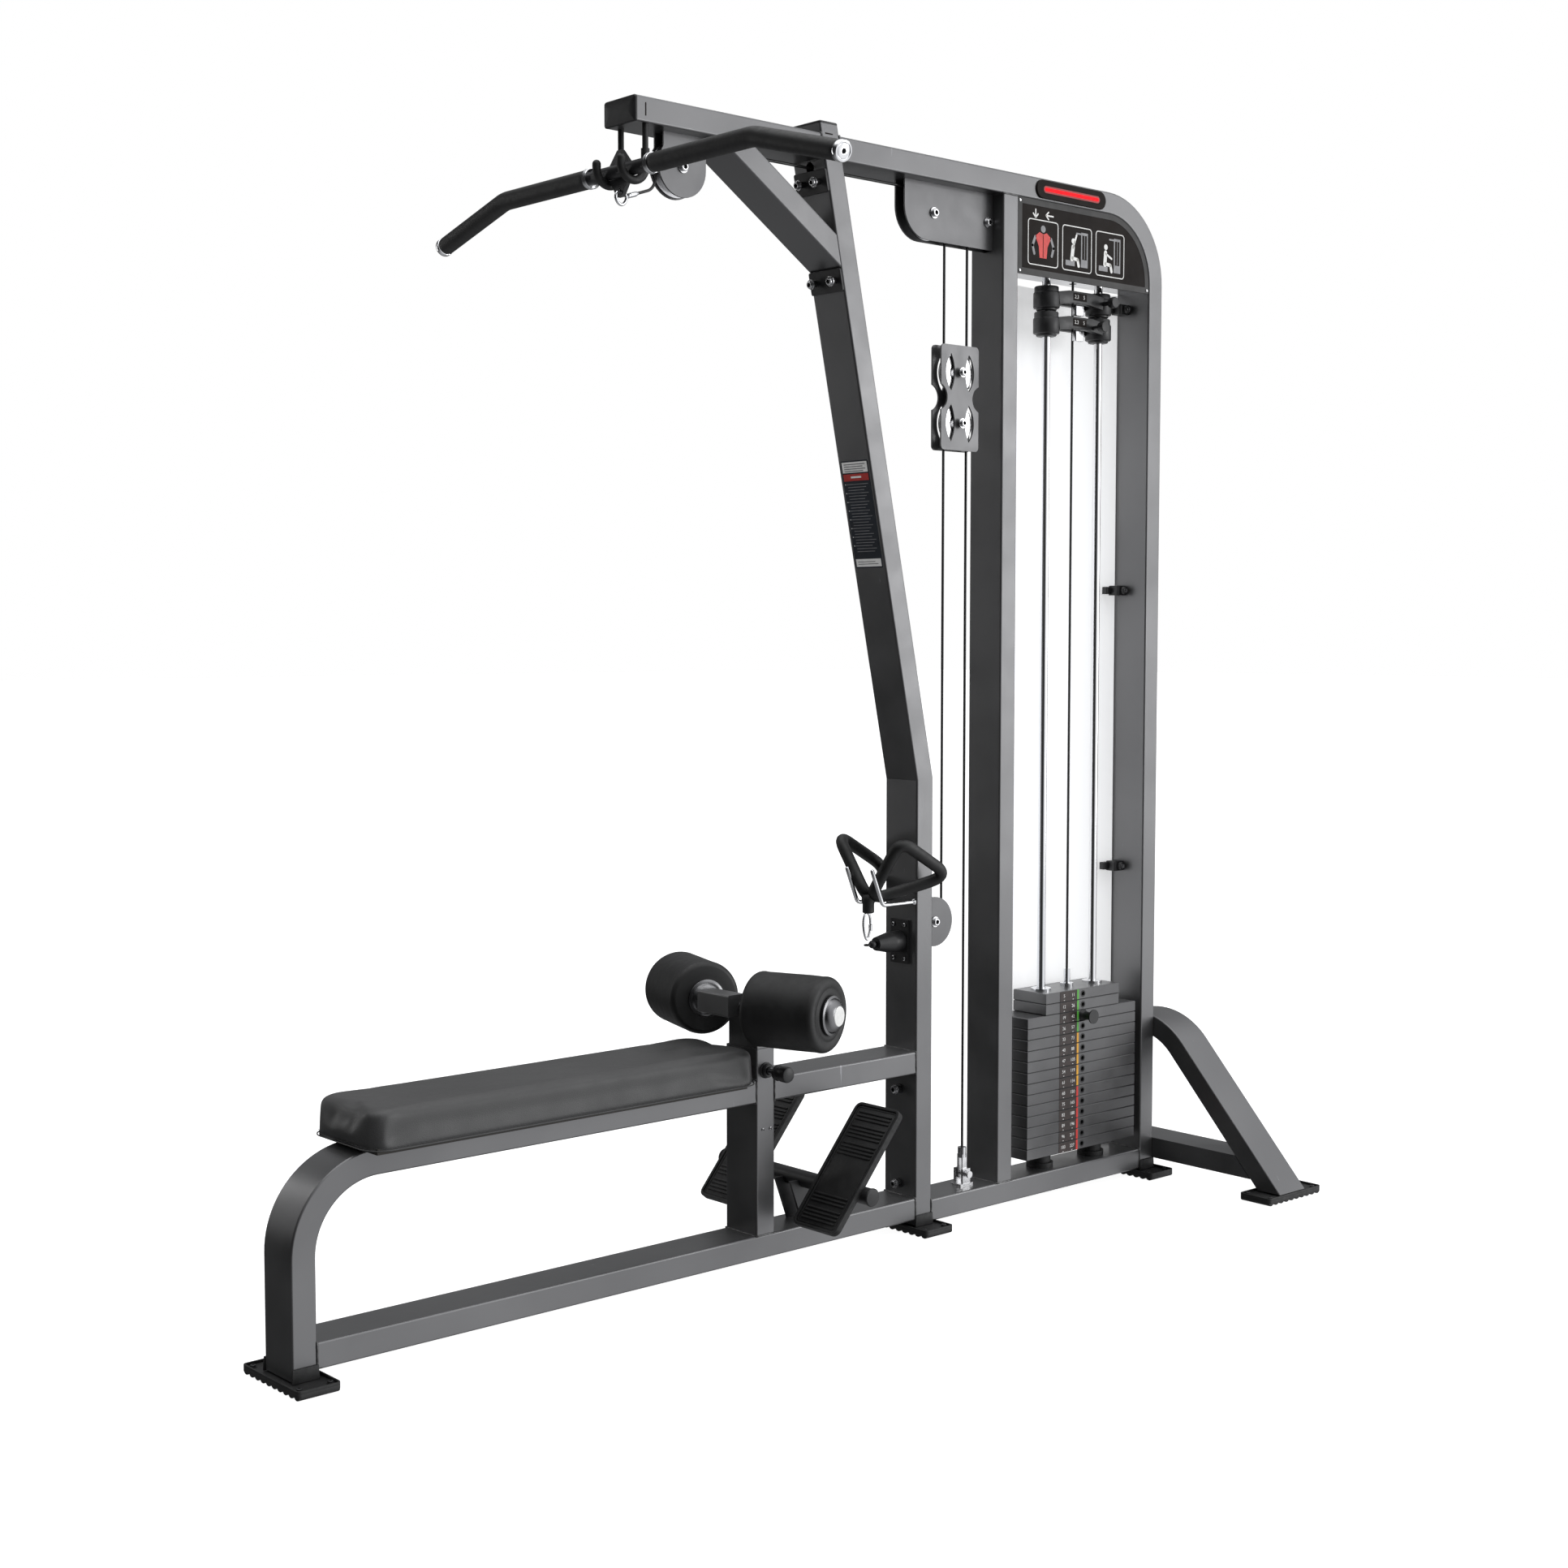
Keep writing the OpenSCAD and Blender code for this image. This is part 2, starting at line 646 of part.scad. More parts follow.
// One weight slab with chamfered edges, rod bores, stem bore and pin hole
module slab(length, z, dep) {
    h = plate_pitch - gap;
    c = 1.5;
    difference() {
        intersection() {
            translate([stack_x - length / 2, 0, z]) rotate([90, 0, 90]) linear_extrude(length)
                polygon([[-dep / 2 + c, 0], [dep / 2 - c, 0], [dep / 2, c], [dep / 2, h - c],
                         [dep / 2 - c, h], [-dep / 2 + c, h], [-dep / 2, h - c], [-dep / 2, c]]);
            translate([stack_x, dep / 2, z]) rotate([90, 0, 0]) linear_extrude(dep)
                polygon([[-length / 2 + c, 0], [length / 2 - c, 0], [length / 2, c],
                         [length / 2, h - c], [length / 2 - c, h], [-length / 2 + c, h],
                         [-length / 2, h - c], [-length / 2, c]]);
        }
        for (x = rod_x) translate([x, 0, z - 1]) cylinder(r = rod_bore, h = h + 2);
        translate([stack_x, 0, z - 1]) cylinder(r = stem_bore, h = h + 2);
        rod_y(stack_x, z + h / 2, -dep, 24, pin_r + 0.7);
    }
}

// Plates left resting when the pin is in the first full plate
module lower_stack() color("#3c3c3e")
    for (i = [0 : plate_count - 2]) slab(plate_len, rest_z + i * plate_pitch, plate_dep);

module stack_head() color("#4a4a4c")
    for (i = [0, 1]) slab(head_len, wide_top + i * plate_pitch, plate_dep);

module lifted_plate() color("#3c3c3e")
    slab(plate_len, wide_top - plate_pitch, plate_dep);

// Drilled stem that the pin locks to, with the cable socket and the rod collars on top
module selector_rod() color(chrome) {
    difference() {
        translate([stack_x, 0, rest_z + 4]) cylinder(r = stem_r, h = head_top - rest_z - 4);
        for (i = [0 : plate_count + 1])
            rod_y(stack_x, rest_z + i * plate_pitch + (plate_pitch - gap) / 2, -20, 20, pin_r + 0.6);
    }
    translate([stack_x, 0, head_top - gap]) cylinder(r = 16, h = 8);
    translate([stack_x, 0, head_top - gap + 8]) cylinder(r = 8, h = 34);
    for (x = rod_x) translate([x, 0, head_top - gap]) difference() {
        cylinder(r = 24, h = 5);
        cylinder(r = rod_bore, h = 20, center = true);
    }
}

// Weight pin with its flared knob
module selector_pin() color(black) {
    rod_y(stack_x, pin_z, -plate_dep / 2 - 4, 18, pin_r);
    translate([stack_x, -plate_dep / 2 - 1, pin_z]) rotate([90, 0, 0]) rotate_extrude()
        polygon([[0, 0], [15, 0], [10, 8], [9, 16], [11, 24], [17, 31], [17, 34], [0, 34]]);
}

// Curved cover behind the weight stack
module shroud_panel() color("#e9ebee") {
    half = (rear_up_x - front_up_x - tube_d) / 2 - 4;
    rise = 58;
    r = (half * half + rise * rise) / (2 * rise);
    t = 3;
    span = asin(half / r);
    translate([(front_up_x + tube_d + rear_up_x) / 2, 46 + rise - r, rear_rail_top + 8])
        rotate([0, 0, 90 - span]) rotate_extrude(angle = 2 * span, $fn = 96)
            translate([r - t, 0]) square([t, 2165 - rear_rail_top - 8]);
}

// Instruction plate in the tower head and the light bar on the beam
module sign_plates() color(black) {
    x0 = front_up_x + tube_d;
    x1 = rear_up_x;
    inner = tower_bend_in;
    translate([0, -44, 0]) rotate([90, 0, 0]) linear_extrude(4) difference() {
        translate([x0 + 0.2, 2160]) square([x1 - x0 - 0.4, beam_bottom - 2160 - 0.2]);
        difference() {
            translate([x1 - inner, beam_bottom - inner]) square([inner + 5, inner + 5]);
            translate([x1 - inner, beam_bottom - inner]) circle(inner - 0.3, $fn = 96);
        }
    }
    translate([front_up_x + 228, -tube_w / 2, beam_top - tube_d / 2]) rotate([90, 0, 0])
        linear_extrude(4) {
            square([200, 42], center = true);
            for (s = [-1, 1]) translate([s * 100, 0]) circle(21);
        }
}

// Clevis that holds the fixed end of the row cable on the base rail
module cable_anchor() color(chrome) {
    translate([line_rear_x - 20, -16, rear_rail_top]) cube([40, 32, 5]);
    for (s = [-1, 1]) translate([line_rear_x - 12, s * 12 - 3, rear_rail_top + 5]) cube([24, 6, 34]);
    bolt_y(line_rear_x, rear_rail_top + 27, -20, 22, 5, 8, 6);
    for (s = [-1, 1]) translate([line_rear_x - 7, s * 7 - 1.6, rear_rail_top + 16]) cube([14, 3.2, 56]);
    translate([line_rear_x, 0, rear_rail_top + 64]) cylinder(r = 10, h = 24);
}

// ================= cables =================

module fixed_cables() color(black) {
    // lat cable: over the front pulley, along the beam, over the first top pulley
    cable_arc(front_pulley_pos, big_pulley_r, 90, 180);
    cable_h(front_pulley_pos[0], top_front_pos[0], cable_z);
    cable_arc(top_front_pos, big_pulley_r, 0, 90);
    // lat cable: over the second top pulley and the stack pulley
    cable_arc(top_rear_pos, big_pulley_r, 90, 180);
    cable_h(top_rear_pos[0], stack_pulley_pos[0], cable_z);
    cable_arc(stack_pulley_pos, big_pulley_r, 0, 90);
    // row cable: out of the nose and round the low pulley
    cable_h(nose_x, low_pulley_pos[0], row_z);
    cable_arc(low_pulley_pos, small_pulley_r, -90, 0);
}

module stack_cable() color(black)
    cable_v(stack_x, head_top + 42 - gap, stack_pulley_pos[1]);

// Four lines of the floating block and the two turns around its pulleys
block_top_z = top_front_pos[1];
module block_cables() color(black) {
    cable_v(line_front_x, block_upper_pos[1], block_top_z);
    cable_v(line_rear_x, block_upper_pos[1], block_top_z);
    cable_arc(block_upper_pos, small_pulley_r, 180, 360);
    cable_v(line_front_x, low_pulley_pos[1], block_lower_pos[1]);
    cable_v(line_rear_x, rear_rail_top + 88, block_lower_pos[1]);
    cable_arc(block_lower_pos, small_pulley_r, 0, 180);
}

// Side view points of the slack leg between the front pulley and the bar
lug_eye = [bar_x, bar_z - 40];
ring_pos = lug_eye - [0, 11.5];                   // middle of the snap ring
ring_r = 13;
slack_top = front_pulley_pos - [big_pulley_r, 1.2];
slack_mid = slack_top - [12, 48];
slack_dir = (slack_mid - ring_pos) / norm(slack_mid - ring_pos);
slack_low = ring_pos + slack_dir * (ring_r + 4);  // socket starts here
socket_len = 26;
slack_end = slack_low + slack_dir * socket_len;

module bar_cable() color(black) {
    side_rod(slack_top, slack_mid, cable_r);
    side_rod(slack_mid, slack_end, cable_r);
    translate([slack_mid[0], 0, slack_mid[1]]) sphere(r = cable_r);
}

// Round rod between two points of the side view
module side_rod(a, b, r) {
    run = b - a;
    translate([a[0], 0, a[1]]) rotate([0, atan2(run[0], run[1]), 0]) cylinder(r = r, h = norm(run));
}

// Short end of the row cable with its stop ball, outside the nose
stop_ball_r = 9;
module row_pull_cable() color(black) {
    cable_h(nose_x - 20, nose_x, row_z);
    translate([nose_x - 10, 0, row_z]) sphere(r = stop_ball_r);
}

// ================= pulleys =================

module front_pulley() color(chrome) pulley(front_pulley_pos, big_pulley_r);
module top_pulley_front() color(chrome) pulley(top_front_pos, big_pulley_r);
module top_pulley_rear() color(chrome) pulley(top_rear_pos, big_pulley_r);
module stack_pulley() color(chrome) pulley(stack_pulley_pos, big_pulley_r);
module low_pulley() color(chrome) pulley(low_pulley_pos, small_pulley_r);
module block_pulley_upper() color(chrome) pulley(block_upper_pos, small_pulley_r);
module block_pulley_lower() color(chrome) pulley(block_lower_pos, small_pulley_r);

// Waisted plates of the floating block, with lens cut-outs, and its two axles
module block_plates() color(paint) {
    mid_z = (block_upper_pos[1] + block_lower_pos[1]) / 2;
    half_w = 60;
    half_h = 117;
    waist_r = 30;
    side_plates() difference() {
        translate([block_x, mid_z]) round_rect(2 * half_w, 2 * half_h, 10);
        for (s = [-1, 1]) {
            translate([block_x + s * (half_w + 10), mid_z]) circle(waist_r);
            for (p = [block_upper_pos, block_lower_pos])
                translate([p[0] + s * 27, p[1]]) intersection() {
                    translate([-s * 42, 0]) circle(60);
                    translate([s * 70, 0]) circle(80);
                }
        }
    }
    for (p = [block_upper_pos, block_lower_pos])
        bolt_y(p[0], p[1], -guard_in - guard_t - 2, guard_in + guard_t + 6, axle_r, 7, 6);
}

// ================= lat bar =================

bend_r = 100;
bend_at = 385;                                    // Y where the straight part ends
bend_drop = 15.4;
tail = bar_half - bend_at - bend_r * sin(bend_drop);

// Round bar of radius r on the +Y side, from y0 to short of the tip by cut. The straight
// parts are a hair thinner and reach into the bend.
module bar_side(r, y0, cut) {
    thin = r - 0.05;
    translate([bar_x, y0, bar_z]) rotate([-90, 0, 0]) cylinder(r = thin, h = bend_at + 2 - y0);
    translate([bar_x, bend_at, bar_z - bend_r]) rotate([90, 0, 90]) rotate([0, 0, 90 - bend_drop])
        rotate_extrude(angle = bend_drop, $fn = 96) translate([bend_r, 0]) circle(r);
    translate([bar_x, bend_at + bend_r * sin(bend_drop), bar_z - bend_r * (1 - cos(bend_drop))])
        rotate([-(90 + bend_drop), 0, 0]) translate([0, 0, -2])
            cylinder(r = thin, h = tail / cos(bend_drop) - cut + 2);
}

module lat_bar() color("#3a3a3c") {
    for (side = [0, 1]) mirror([0, side, 0]) bar_side(bar_r, -1, 6);
    // diamond lug welded across the middle
    difference() {
        translate([bar_x - 4, 0, bar_z]) rotate([90, 0, 90]) linear_extrude(8)
            polygon([[-44, 0], [-8, -50], [8, -50], [44, 0], [7, 40], [-7, 40]]);
        rod_x_dir(bar_x - 20, bar_x + 20, 0, lug_eye[1], 6);
    }
}

// Rubber sleeves, each in three lengths that overlap at the bend
module lat_bar_grips() color(black) {
    lap = 3;
    start = 104;
    bend = [bend_at + bend_r * sin(bend_drop), bar_z - bend_r * (1 - cos(bend_drop))];
    for (side = [0, 1]) mirror([0, side, 0]) {
        translate([bar_x, start, bar_z]) rotate([-90, 0, 0]) sleeve(bend_at + lap - start);
        translate([bar_x, bend_at, bar_z - bend_r]) rotate([90, 0, 90]) rotate([0, 0, 90 - bend_drop])
            rotate_extrude(angle = bend_drop, $fn = 96) translate([bend_r, 0]) difference() {
                circle(grip_r + 0.3);
                circle(bar_r + 0.2);
            }
        translate([bar_x, bend[0], bend[1]]) rotate([-(90 + bend_drop), 0, 0])
            translate([0, 0, -lap]) sleeve(tail / cos(bend_drop) - 12 + lap);
    }
}

module sleeve(length) {
    difference() {
        cylinder(r = grip_r, h = length);
        translate([0, 0, -1]) cylinder(r = bar_r, h = length + 2);
    }
}

// Collars at the inner ends of the grips, end caps and the snap hook of the cable
module lat_bar_fittings() color(chrome) {
    for (side = [0, 1]) mirror([0, side, 0]) {
        difference() {
            translate([bar_x, 94, bar_z]) rotate([-90, 0, 0]) cylinder(r = grip_r + 1.5, h = 10);
            translate([bar_x, 90, bar_z]) rotate([-90, 0, 0]) cylinder(r = bar_r, h = 20);
        }
        difference() {
            bar_tip(grip_r - 1, 12);
            bar_tip(bar_r, 12, 6);
        }
    }
    translate([ring_pos[0], 0, ring_pos[1]]) rotate([90, 0, 0])
        rotate_extrude() translate([ring_r, 0]) circle(3.2);
    side_rod(slack_low, slack_end, 5);
}

// Disc of the given length at the very tip of the bar
module bar_tip(r, length, trim = 0) {
    along = tail / cos(bend_drop);
    translate([bar_x, bend_at + bend_r * sin(bend_drop), bar_z - bend_r * (1 - cos(bend_drop))])
        rotate([-(90 + bend_drop), 0, 0]) translate([0, 0, along - length - (trim > 0 ? 1 : 0)])
            cylinder(r = r, h = length - trim + (trim > 0 ? 1 : 0));
}

// ================= row handle =================

handle_r = 12;
handle_eye = [mid_x - 105, 728];
// corners of one grip in the side view and their distance from the middle
handle_a = [mid_x - 99, 888];
handle_b = [mid_x + 50, 806];
handle_j = [mid_x - 101, 752];
handle_y = 98;

// Round bar between two points in space
module strut(a, b, r) {
    run = b - a;
    flat = norm([run[0], run[1]]);
    translate(a) rotate([0, 0, atan2(run[1], run[0])]) rotate([0, atan2(flat, run[2]), 0])
        cylinder(r = r, h = norm(run));
}

module row_handle() color(black) {
    j = [handle_j[0], 0, handle_j[1]];
    for (s = [-1, 1]) {
        a = [handle_a[0], s * handle_y, handle_a[1]];
        b = [handle_b[0], s * handle_y, handle_b[1]];
        strut(j, a, handle_r);
        strut(a, b, handle_r);
        strut(b, j, handle_r);
        translate(a) sphere(r = handle_r + 0.5);
        translate(b) sphere(r = handle_r + 0.5);
    }
    translate(j) sphere(r = handle_r + 3);
    difference() {
        translate([handle_eye[0] - 3, -9, handle_eye[1] - 10]) cube([10, 18, 24]);
        rod_x_dir(handle_eye[0] - 10, handle_eye[0] + 10, 0, handle_eye[1], 5.6);
    }
}

// Oval snap link in the eye of the handle, hanging just above the cable's stop ball
module row_carabiner() color(chrome) {
    r = 3;
    top = handle_eye[1] - 0.5;
    low = row_z + stop_ball_r + 1 + r;
    half = 13;
    translate([handle_eye[0], 0, top - half]) rotate([90, 0, 0])
        rotate_extrude(angle = 180) translate([half, 0]) circle(r);
    translate([handle_eye[0], 0, low + half]) rotate([90, 0, 0]) rotate([0, 0, 180])
        rotate_extrude(angle = 180) translate([half, 0]) circle(r);
    for (s = [-1, 1]) translate([handle_eye[0] + s * half, 0, low + half])
        cylinder(r = r, h = top - low - 2 * half);
}

// ================= thigh pads =================

// Sliding post, its head, the swept roller axles and their end caps
module thigh_post() color(paint) {
    x = seat_post_x + tube_d / 2;
    top = roller_z - 32;
    difference() {
        translate([x, 0, 150]) linear_extrude(top - 150) difference() {
            round_rect(inner_d, inner_w, 3);
            square([inner_d - 6, inner_w - 6], center = true);
        }
        for (i = [0 : 6]) rod_y(x, pop_z - i * thigh_pitch, -tube_w, 0, 6.7);
    }
    translate([x - inner_d / 2, -inner_w / 2, top]) cube([inner_d, inner_w, 5]);
    // cheek plates from the post to the cross box
    for (s = [-1, 1]) translate([0, s * 30 + 3, 0]) rotate([90, 0, 0]) linear_extrude(6)
        polygon([[x + inner_d / 2, top + 5], [x - inner_d / 2, top + 5], [axle_apex[0] - 10, roller_z - 15],
                 [axle_apex[0] + 20, roller_z + 18], [x + inner_d / 2, top + 30]]);
    difference() {
        translate([axle_apex[0], 50, roller_z + 4]) rotate([90, 0, 0])
            linear_extrude(100) round_rect(head_box, head_box, 4);
        translate([axle_apex[0], 47, roller_z + 4]) rotate([90, 0, 0])
            linear_extrude(94) square(head_box - 6, center = true);
    }
    for (s = [-1, 1])
        translate([axle_apex[0], 0, roller_z]) rotate([0, 0, s * (90 - roller_sweep)]) {
            rod_x_dir(48, roller_in + roller_len + 10, 0, 0, 12.5);
            rod_x_dir(roller_in - 8, roller_in - 0.6, 0, 0, 30);
            translate([roller_in + roller_len + 0.6, 0, 0]) rotate([0, 90, 0]) {
                cylinder(r = 40, h = 4);
                translate([0, 0, 4]) cylinder(r1 = 36, r2 = 20, h = 16);
            }
        }
}

module roller_pad(s) color(rubber)
    translate([axle_apex[0], 0, roller_z]) rotate([0, 0, s * (90 - roller_sweep)])
        translate([roller_in, 0, 0]) rotate([0, 90, 0]) difference() {
            cylinder(r = roller_r, h = roller_len);
            translate([0, 0, -1]) cylinder(r = 13, h = roller_len + 2);
        }

module roller_pad_left() roller_pad(1);
module roller_pad_right() roller_pad(-1);

// Spring pin that locks the thigh post
module pop_pin() color(black) {
    x = seat_post_x + tube_d / 2;
    rod_y(x, pop_z, -124, -84, 17);
    rod_y(x, pop_z, -84, -62.4, 8);
    rod_y(x, pop_z, -64, -41, 6);
}

// ================= add-on weights =================

// Dumb-bell shaped weight on both guide rods, open in the middle for the cable
module addon(z) {
    difference() {
        union() {
            for (x = rod_x) translate([x, 0, z]) cylinder(r = 31, h = addon_h);
            translate([rod_x[0], -28, z + 22]) cube([rod_spacing, 56, 28]);
        }
        for (x = rod_x) translate([x, 0, z - 1]) cylinder(r = rod_bore, h = addon_h + 2);
        translate([stack_x, 0, z - 1]) cylinder(r = 12, h = addon_h + 2);
    }
}

module addon_lower() color(paint) difference() {
    addon(addon_z[0]);
    rod_y(stack_x + knob_off[0][0], addon_z[0] + knob_off[0][1], -60, -14, 5.5);
}

module addon_upper() color(paint) difference() {
    addon(addon_z[1]);
    rod_y(stack_x + knob_off[1][0], addon_z[1] + knob_off[1][1], -60, -14, 5.5);
}

module addon_knob(i) {
    x = stack_x + knob_off[i][0];
    z = addon_z[i] + knob_off[i][1];
    rod_y(x, z, -66, -46, 13);
    rod_y(x, z, -47, -24, 5);
}

module addon_knob_lower() color(black) addon_knob(0);
module addon_knob_upper() color(black) addon_knob(1);

front_frame();
seat_rail_rear();
seat_post();
base_rail_front();
base_rail_rear();
mid_post();
front_upright();
tower_frame();
front_arm();
arm_brace();
rear_arch();
rear_cross_tube();
ground_feet();
tube_end_caps();
frame_fasteners();
seat_board();
seat_pad();
foot_plate_left();
foot_plate_right();
foot_cross_tube();
bar_hooks();
pulley_guards();
row_cable_nose();
row_cradle();
guide_rods();
rod_bumpers();
lower_stack();
shroud_panel();
sign_plates();
cable_anchor();
fixed_cables();
front_pulley();
top_pulley_front();
top_pulley_rear();
stack_pulley();
low_pulley();
stack_head();
lifted_plate();
selector_rod();
stack_cable();
selector_pin();
lat_bar();
lat_bar_grips();
lat_bar_fittings();
bar_cable();
row_handle();
row_carabiner();
row_pull_cable();
block_plates();
block_pulley_upper();
block_pulley_lower();
block_cables();
thigh_post();
roller_pad_left();
roller_pad_right();
pop_pin();
addon_lower();
addon_upper();
addon_knob_lower();
addon_knob_upper();
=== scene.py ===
import math

import bmesh
import bpy
from mathutils import Matrix, Vector


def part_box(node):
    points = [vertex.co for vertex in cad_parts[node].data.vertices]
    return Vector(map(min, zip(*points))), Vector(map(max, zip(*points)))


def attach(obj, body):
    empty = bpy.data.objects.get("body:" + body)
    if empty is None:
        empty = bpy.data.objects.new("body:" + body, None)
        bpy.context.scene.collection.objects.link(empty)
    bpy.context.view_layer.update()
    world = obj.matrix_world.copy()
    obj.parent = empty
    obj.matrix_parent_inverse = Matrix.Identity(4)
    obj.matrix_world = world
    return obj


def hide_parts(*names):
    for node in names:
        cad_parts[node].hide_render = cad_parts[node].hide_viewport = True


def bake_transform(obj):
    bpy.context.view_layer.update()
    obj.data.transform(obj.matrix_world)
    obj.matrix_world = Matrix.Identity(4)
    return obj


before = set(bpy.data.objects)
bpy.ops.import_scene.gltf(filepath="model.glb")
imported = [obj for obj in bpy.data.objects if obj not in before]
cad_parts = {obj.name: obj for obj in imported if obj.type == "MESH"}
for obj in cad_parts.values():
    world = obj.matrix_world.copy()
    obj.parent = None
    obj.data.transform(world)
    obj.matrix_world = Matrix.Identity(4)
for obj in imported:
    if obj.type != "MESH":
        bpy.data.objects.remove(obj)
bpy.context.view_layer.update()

# Lengths in this script are millimetres, unless a name ends in _m or _M. X is measured from the
# front face of the front leg, Y from the middle plane (the near side is negative), Z from the floor.
MM = 0.001
LEG_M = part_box("front_frame")[0].x
UP = Vector((0, 0, 1))
ALONG = Vector((1, 0, 0))
ACROSS = Vector((0, 1, 0))


def at(x, y, z):
    """Point of the row frame, in metres."""
    return Vector((LEG_M + x * MM, y * MM, z * MM))


def in_mm(point_m):
    return Vector(((point_m.x - LEG_M) / MM, point_m.y / MM, point_m.z / MM))


def low(node):
    """Lowest corner of a CAD node, in this script's millimetres."""
    return in_mm(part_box(node)[0])


def high(node):
    return in_mm(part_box(node)[1])


def centre_of(node):
    return (low(node) + high(node)) / 2


# ---------------------------------------------------------------- camera and light
scene = bpy.context.scene
CAMERA_AT_M = Vector((-3.1107, -3.450, 1.3365))
CAMERA_YAW = math.radians(48.47)
CAMERA_PITCH = math.radians(-3.886)

camera = bpy.data.objects.new("camera", bpy.data.cameras.new("camera"))
camera.data.lens = 50
camera.data.sensor_width = 36
camera.data.clip_end = 200
camera.location = CAMERA_AT_M
look = Vector((math.cos(CAMERA_YAW) * math.cos(CAMERA_PITCH),
               math.sin(CAMERA_YAW) * math.cos(CAMERA_PITCH), math.sin(CAMERA_PITCH)))
camera.rotation_mode = "QUATERNION"
camera.rotation_quaternion = look.to_track_quat("-Z", "Y")
scene.collection.objects.link(camera)
scene.camera = camera
scene.view_settings.view_transform = "Standard"


def softbox(name, place_m, aim_m, size_m, power, tall_m=None):
    lamp = bpy.data.lights.new(name, "AREA")
    lamp.shape = "RECTANGLE"
    lamp.size = size_m
    lamp.size_y = tall_m or size_m
    lamp.energy = power
    lit = bpy.data.objects.new(name, lamp)
    lit.location = place_m
    lit.rotation_mode = "QUATERNION"
    lit.rotation_quaternion = (Vector(aim_m) - Vector(place_m)).to_track_quat("-Z", "Y")
    scene.collection.objects.link(lit)


MIDDLE_M = (0.0, 0.0, 1.1)
softbox("key_softbox", (8.0, -9.0, 2.2), MIDDLE_M, 5.0, 260)
softbox("top_softbox", (-0.4, 0.0, 7.0), (-0.2, 0, 0), 7.0, 150)
softbox("back_strip", (-3.2, 5.6, 2.2), MIDDLE_M, 0.7, 34, 4.5)


def node_of(tree, kind, **values):
    """New shader node with uniform values on its sockets."""
    made = tree.nodes.new("ShaderNode" + kind)
    for socket, value in values.items():
        made.inputs[socket.replace("_", " ")].default_value = value
    return made


# the camera sees plain white, and the machine is lit by soft patches far away
world = bpy.data.worlds.new("studio")
scene.world = world
world.use_nodes = True
sky = world.node_tree
sky.nodes.clear()
seen = node_of(sky, "Background", Color=(1, 1, 1, 1), Strength=1.0)
fill = node_of(sky, "Background", Color=(0.97, 0.98, 1, 1))
heading = node_of(sky, "TexCoord").outputs["Generated"]


def sky_lobe(direction, start, end, strength):
    """Round patch of light about a direction; start and end are cosines of its edge and core."""
    facing = node_of(sky, "VectorMath")
    facing.operation = "DOT_PRODUCT"
    facing.inputs[1].default_value = Vector(direction).normalized()
    sky.links.new(heading, facing.inputs[0])
    lobe = node_of(sky, "MapRange", From_Min=start, From_Max=end, To_Max=strength)
    lobe.interpolation_type = "SMOOTHSTEP"
    sky.links.new(facing.outputs["Value"], lobe.inputs["Value"])
    return lobe.outputs[0]


def sum_of(first, second=None):
    both = node_of(sky, "Math")
    both.operation = "ADD"
    sky.links.new(first, both.inputs[0])
    if second:
        sky.links.new(second, both.inputs[1])
    else:
        both.inputs[1].default_value = DIMMEST
    return both.outputs[0]


DIMMEST = 0.03
from_right = sky_lobe((0.64, -0.74, 0.20), 0.30, 0.90, 1.05)
from_above = sky_lobe((0, -0.1, 1), 0.35, 1.0, 0.80)
from_floor = sky_lobe((0, 0, -1), 0.2, 1.0, 0.42)
from_behind = sky_lobe((0.66, 0.75, 0.32), 0.60, 0.97, 0.22)
total = sum_of(sum_of(sum_of(from_right, from_above), from_floor), from_behind)
sky.links.new(sum_of(total), fill.inputs["Strength"])
ray = node_of(sky, "LightPath")
pick = node_of(sky, "MixShader")
sky.links.new(ray.outputs["Is Camera Ray"], pick.inputs[0])
sky.links.new(fill.outputs[0], pick.inputs[1])
sky.links.new(seen.outputs[0], pick.inputs[2])
sky.links.new(pick.outputs[0], node_of(sky, "OutputWorld").inputs[0])


# ---------------------------------------------------------------- materials
def ramp_between(tree, source, first, second, start=0.35, end=0.65):
    ramp = node_of(tree, "ValToRGB")
    for stop, place, colour in zip(ramp.color_ramp.elements, (start, end), (first, second)):
        stop.position = place
        stop.color = (*colour, 1)
    tree.links.new(source, ramp.inputs[0])
    return ramp.outputs[0]


def noise_of(tree, coords, scale, detail, stretch=None):
    if stretch:
        mapping = node_of(tree, "Mapping", Scale=stretch)
        tree.links.new(coords, mapping.inputs["Vector"])
        coords = mapping.outputs[0]
    made = node_of(tree, "TexNoise", Scale=scale, Detail=detail)
    tree.links.new(coords, made.inputs["Vector"])
    return made.outputs["Fac"]


def cells_of(tree, coords, scale):
    made = node_of(tree, "TexVoronoi", Scale=scale)
    tree.links.new(coords, made.inputs["Vector"])
    return made.outputs["Distance"]


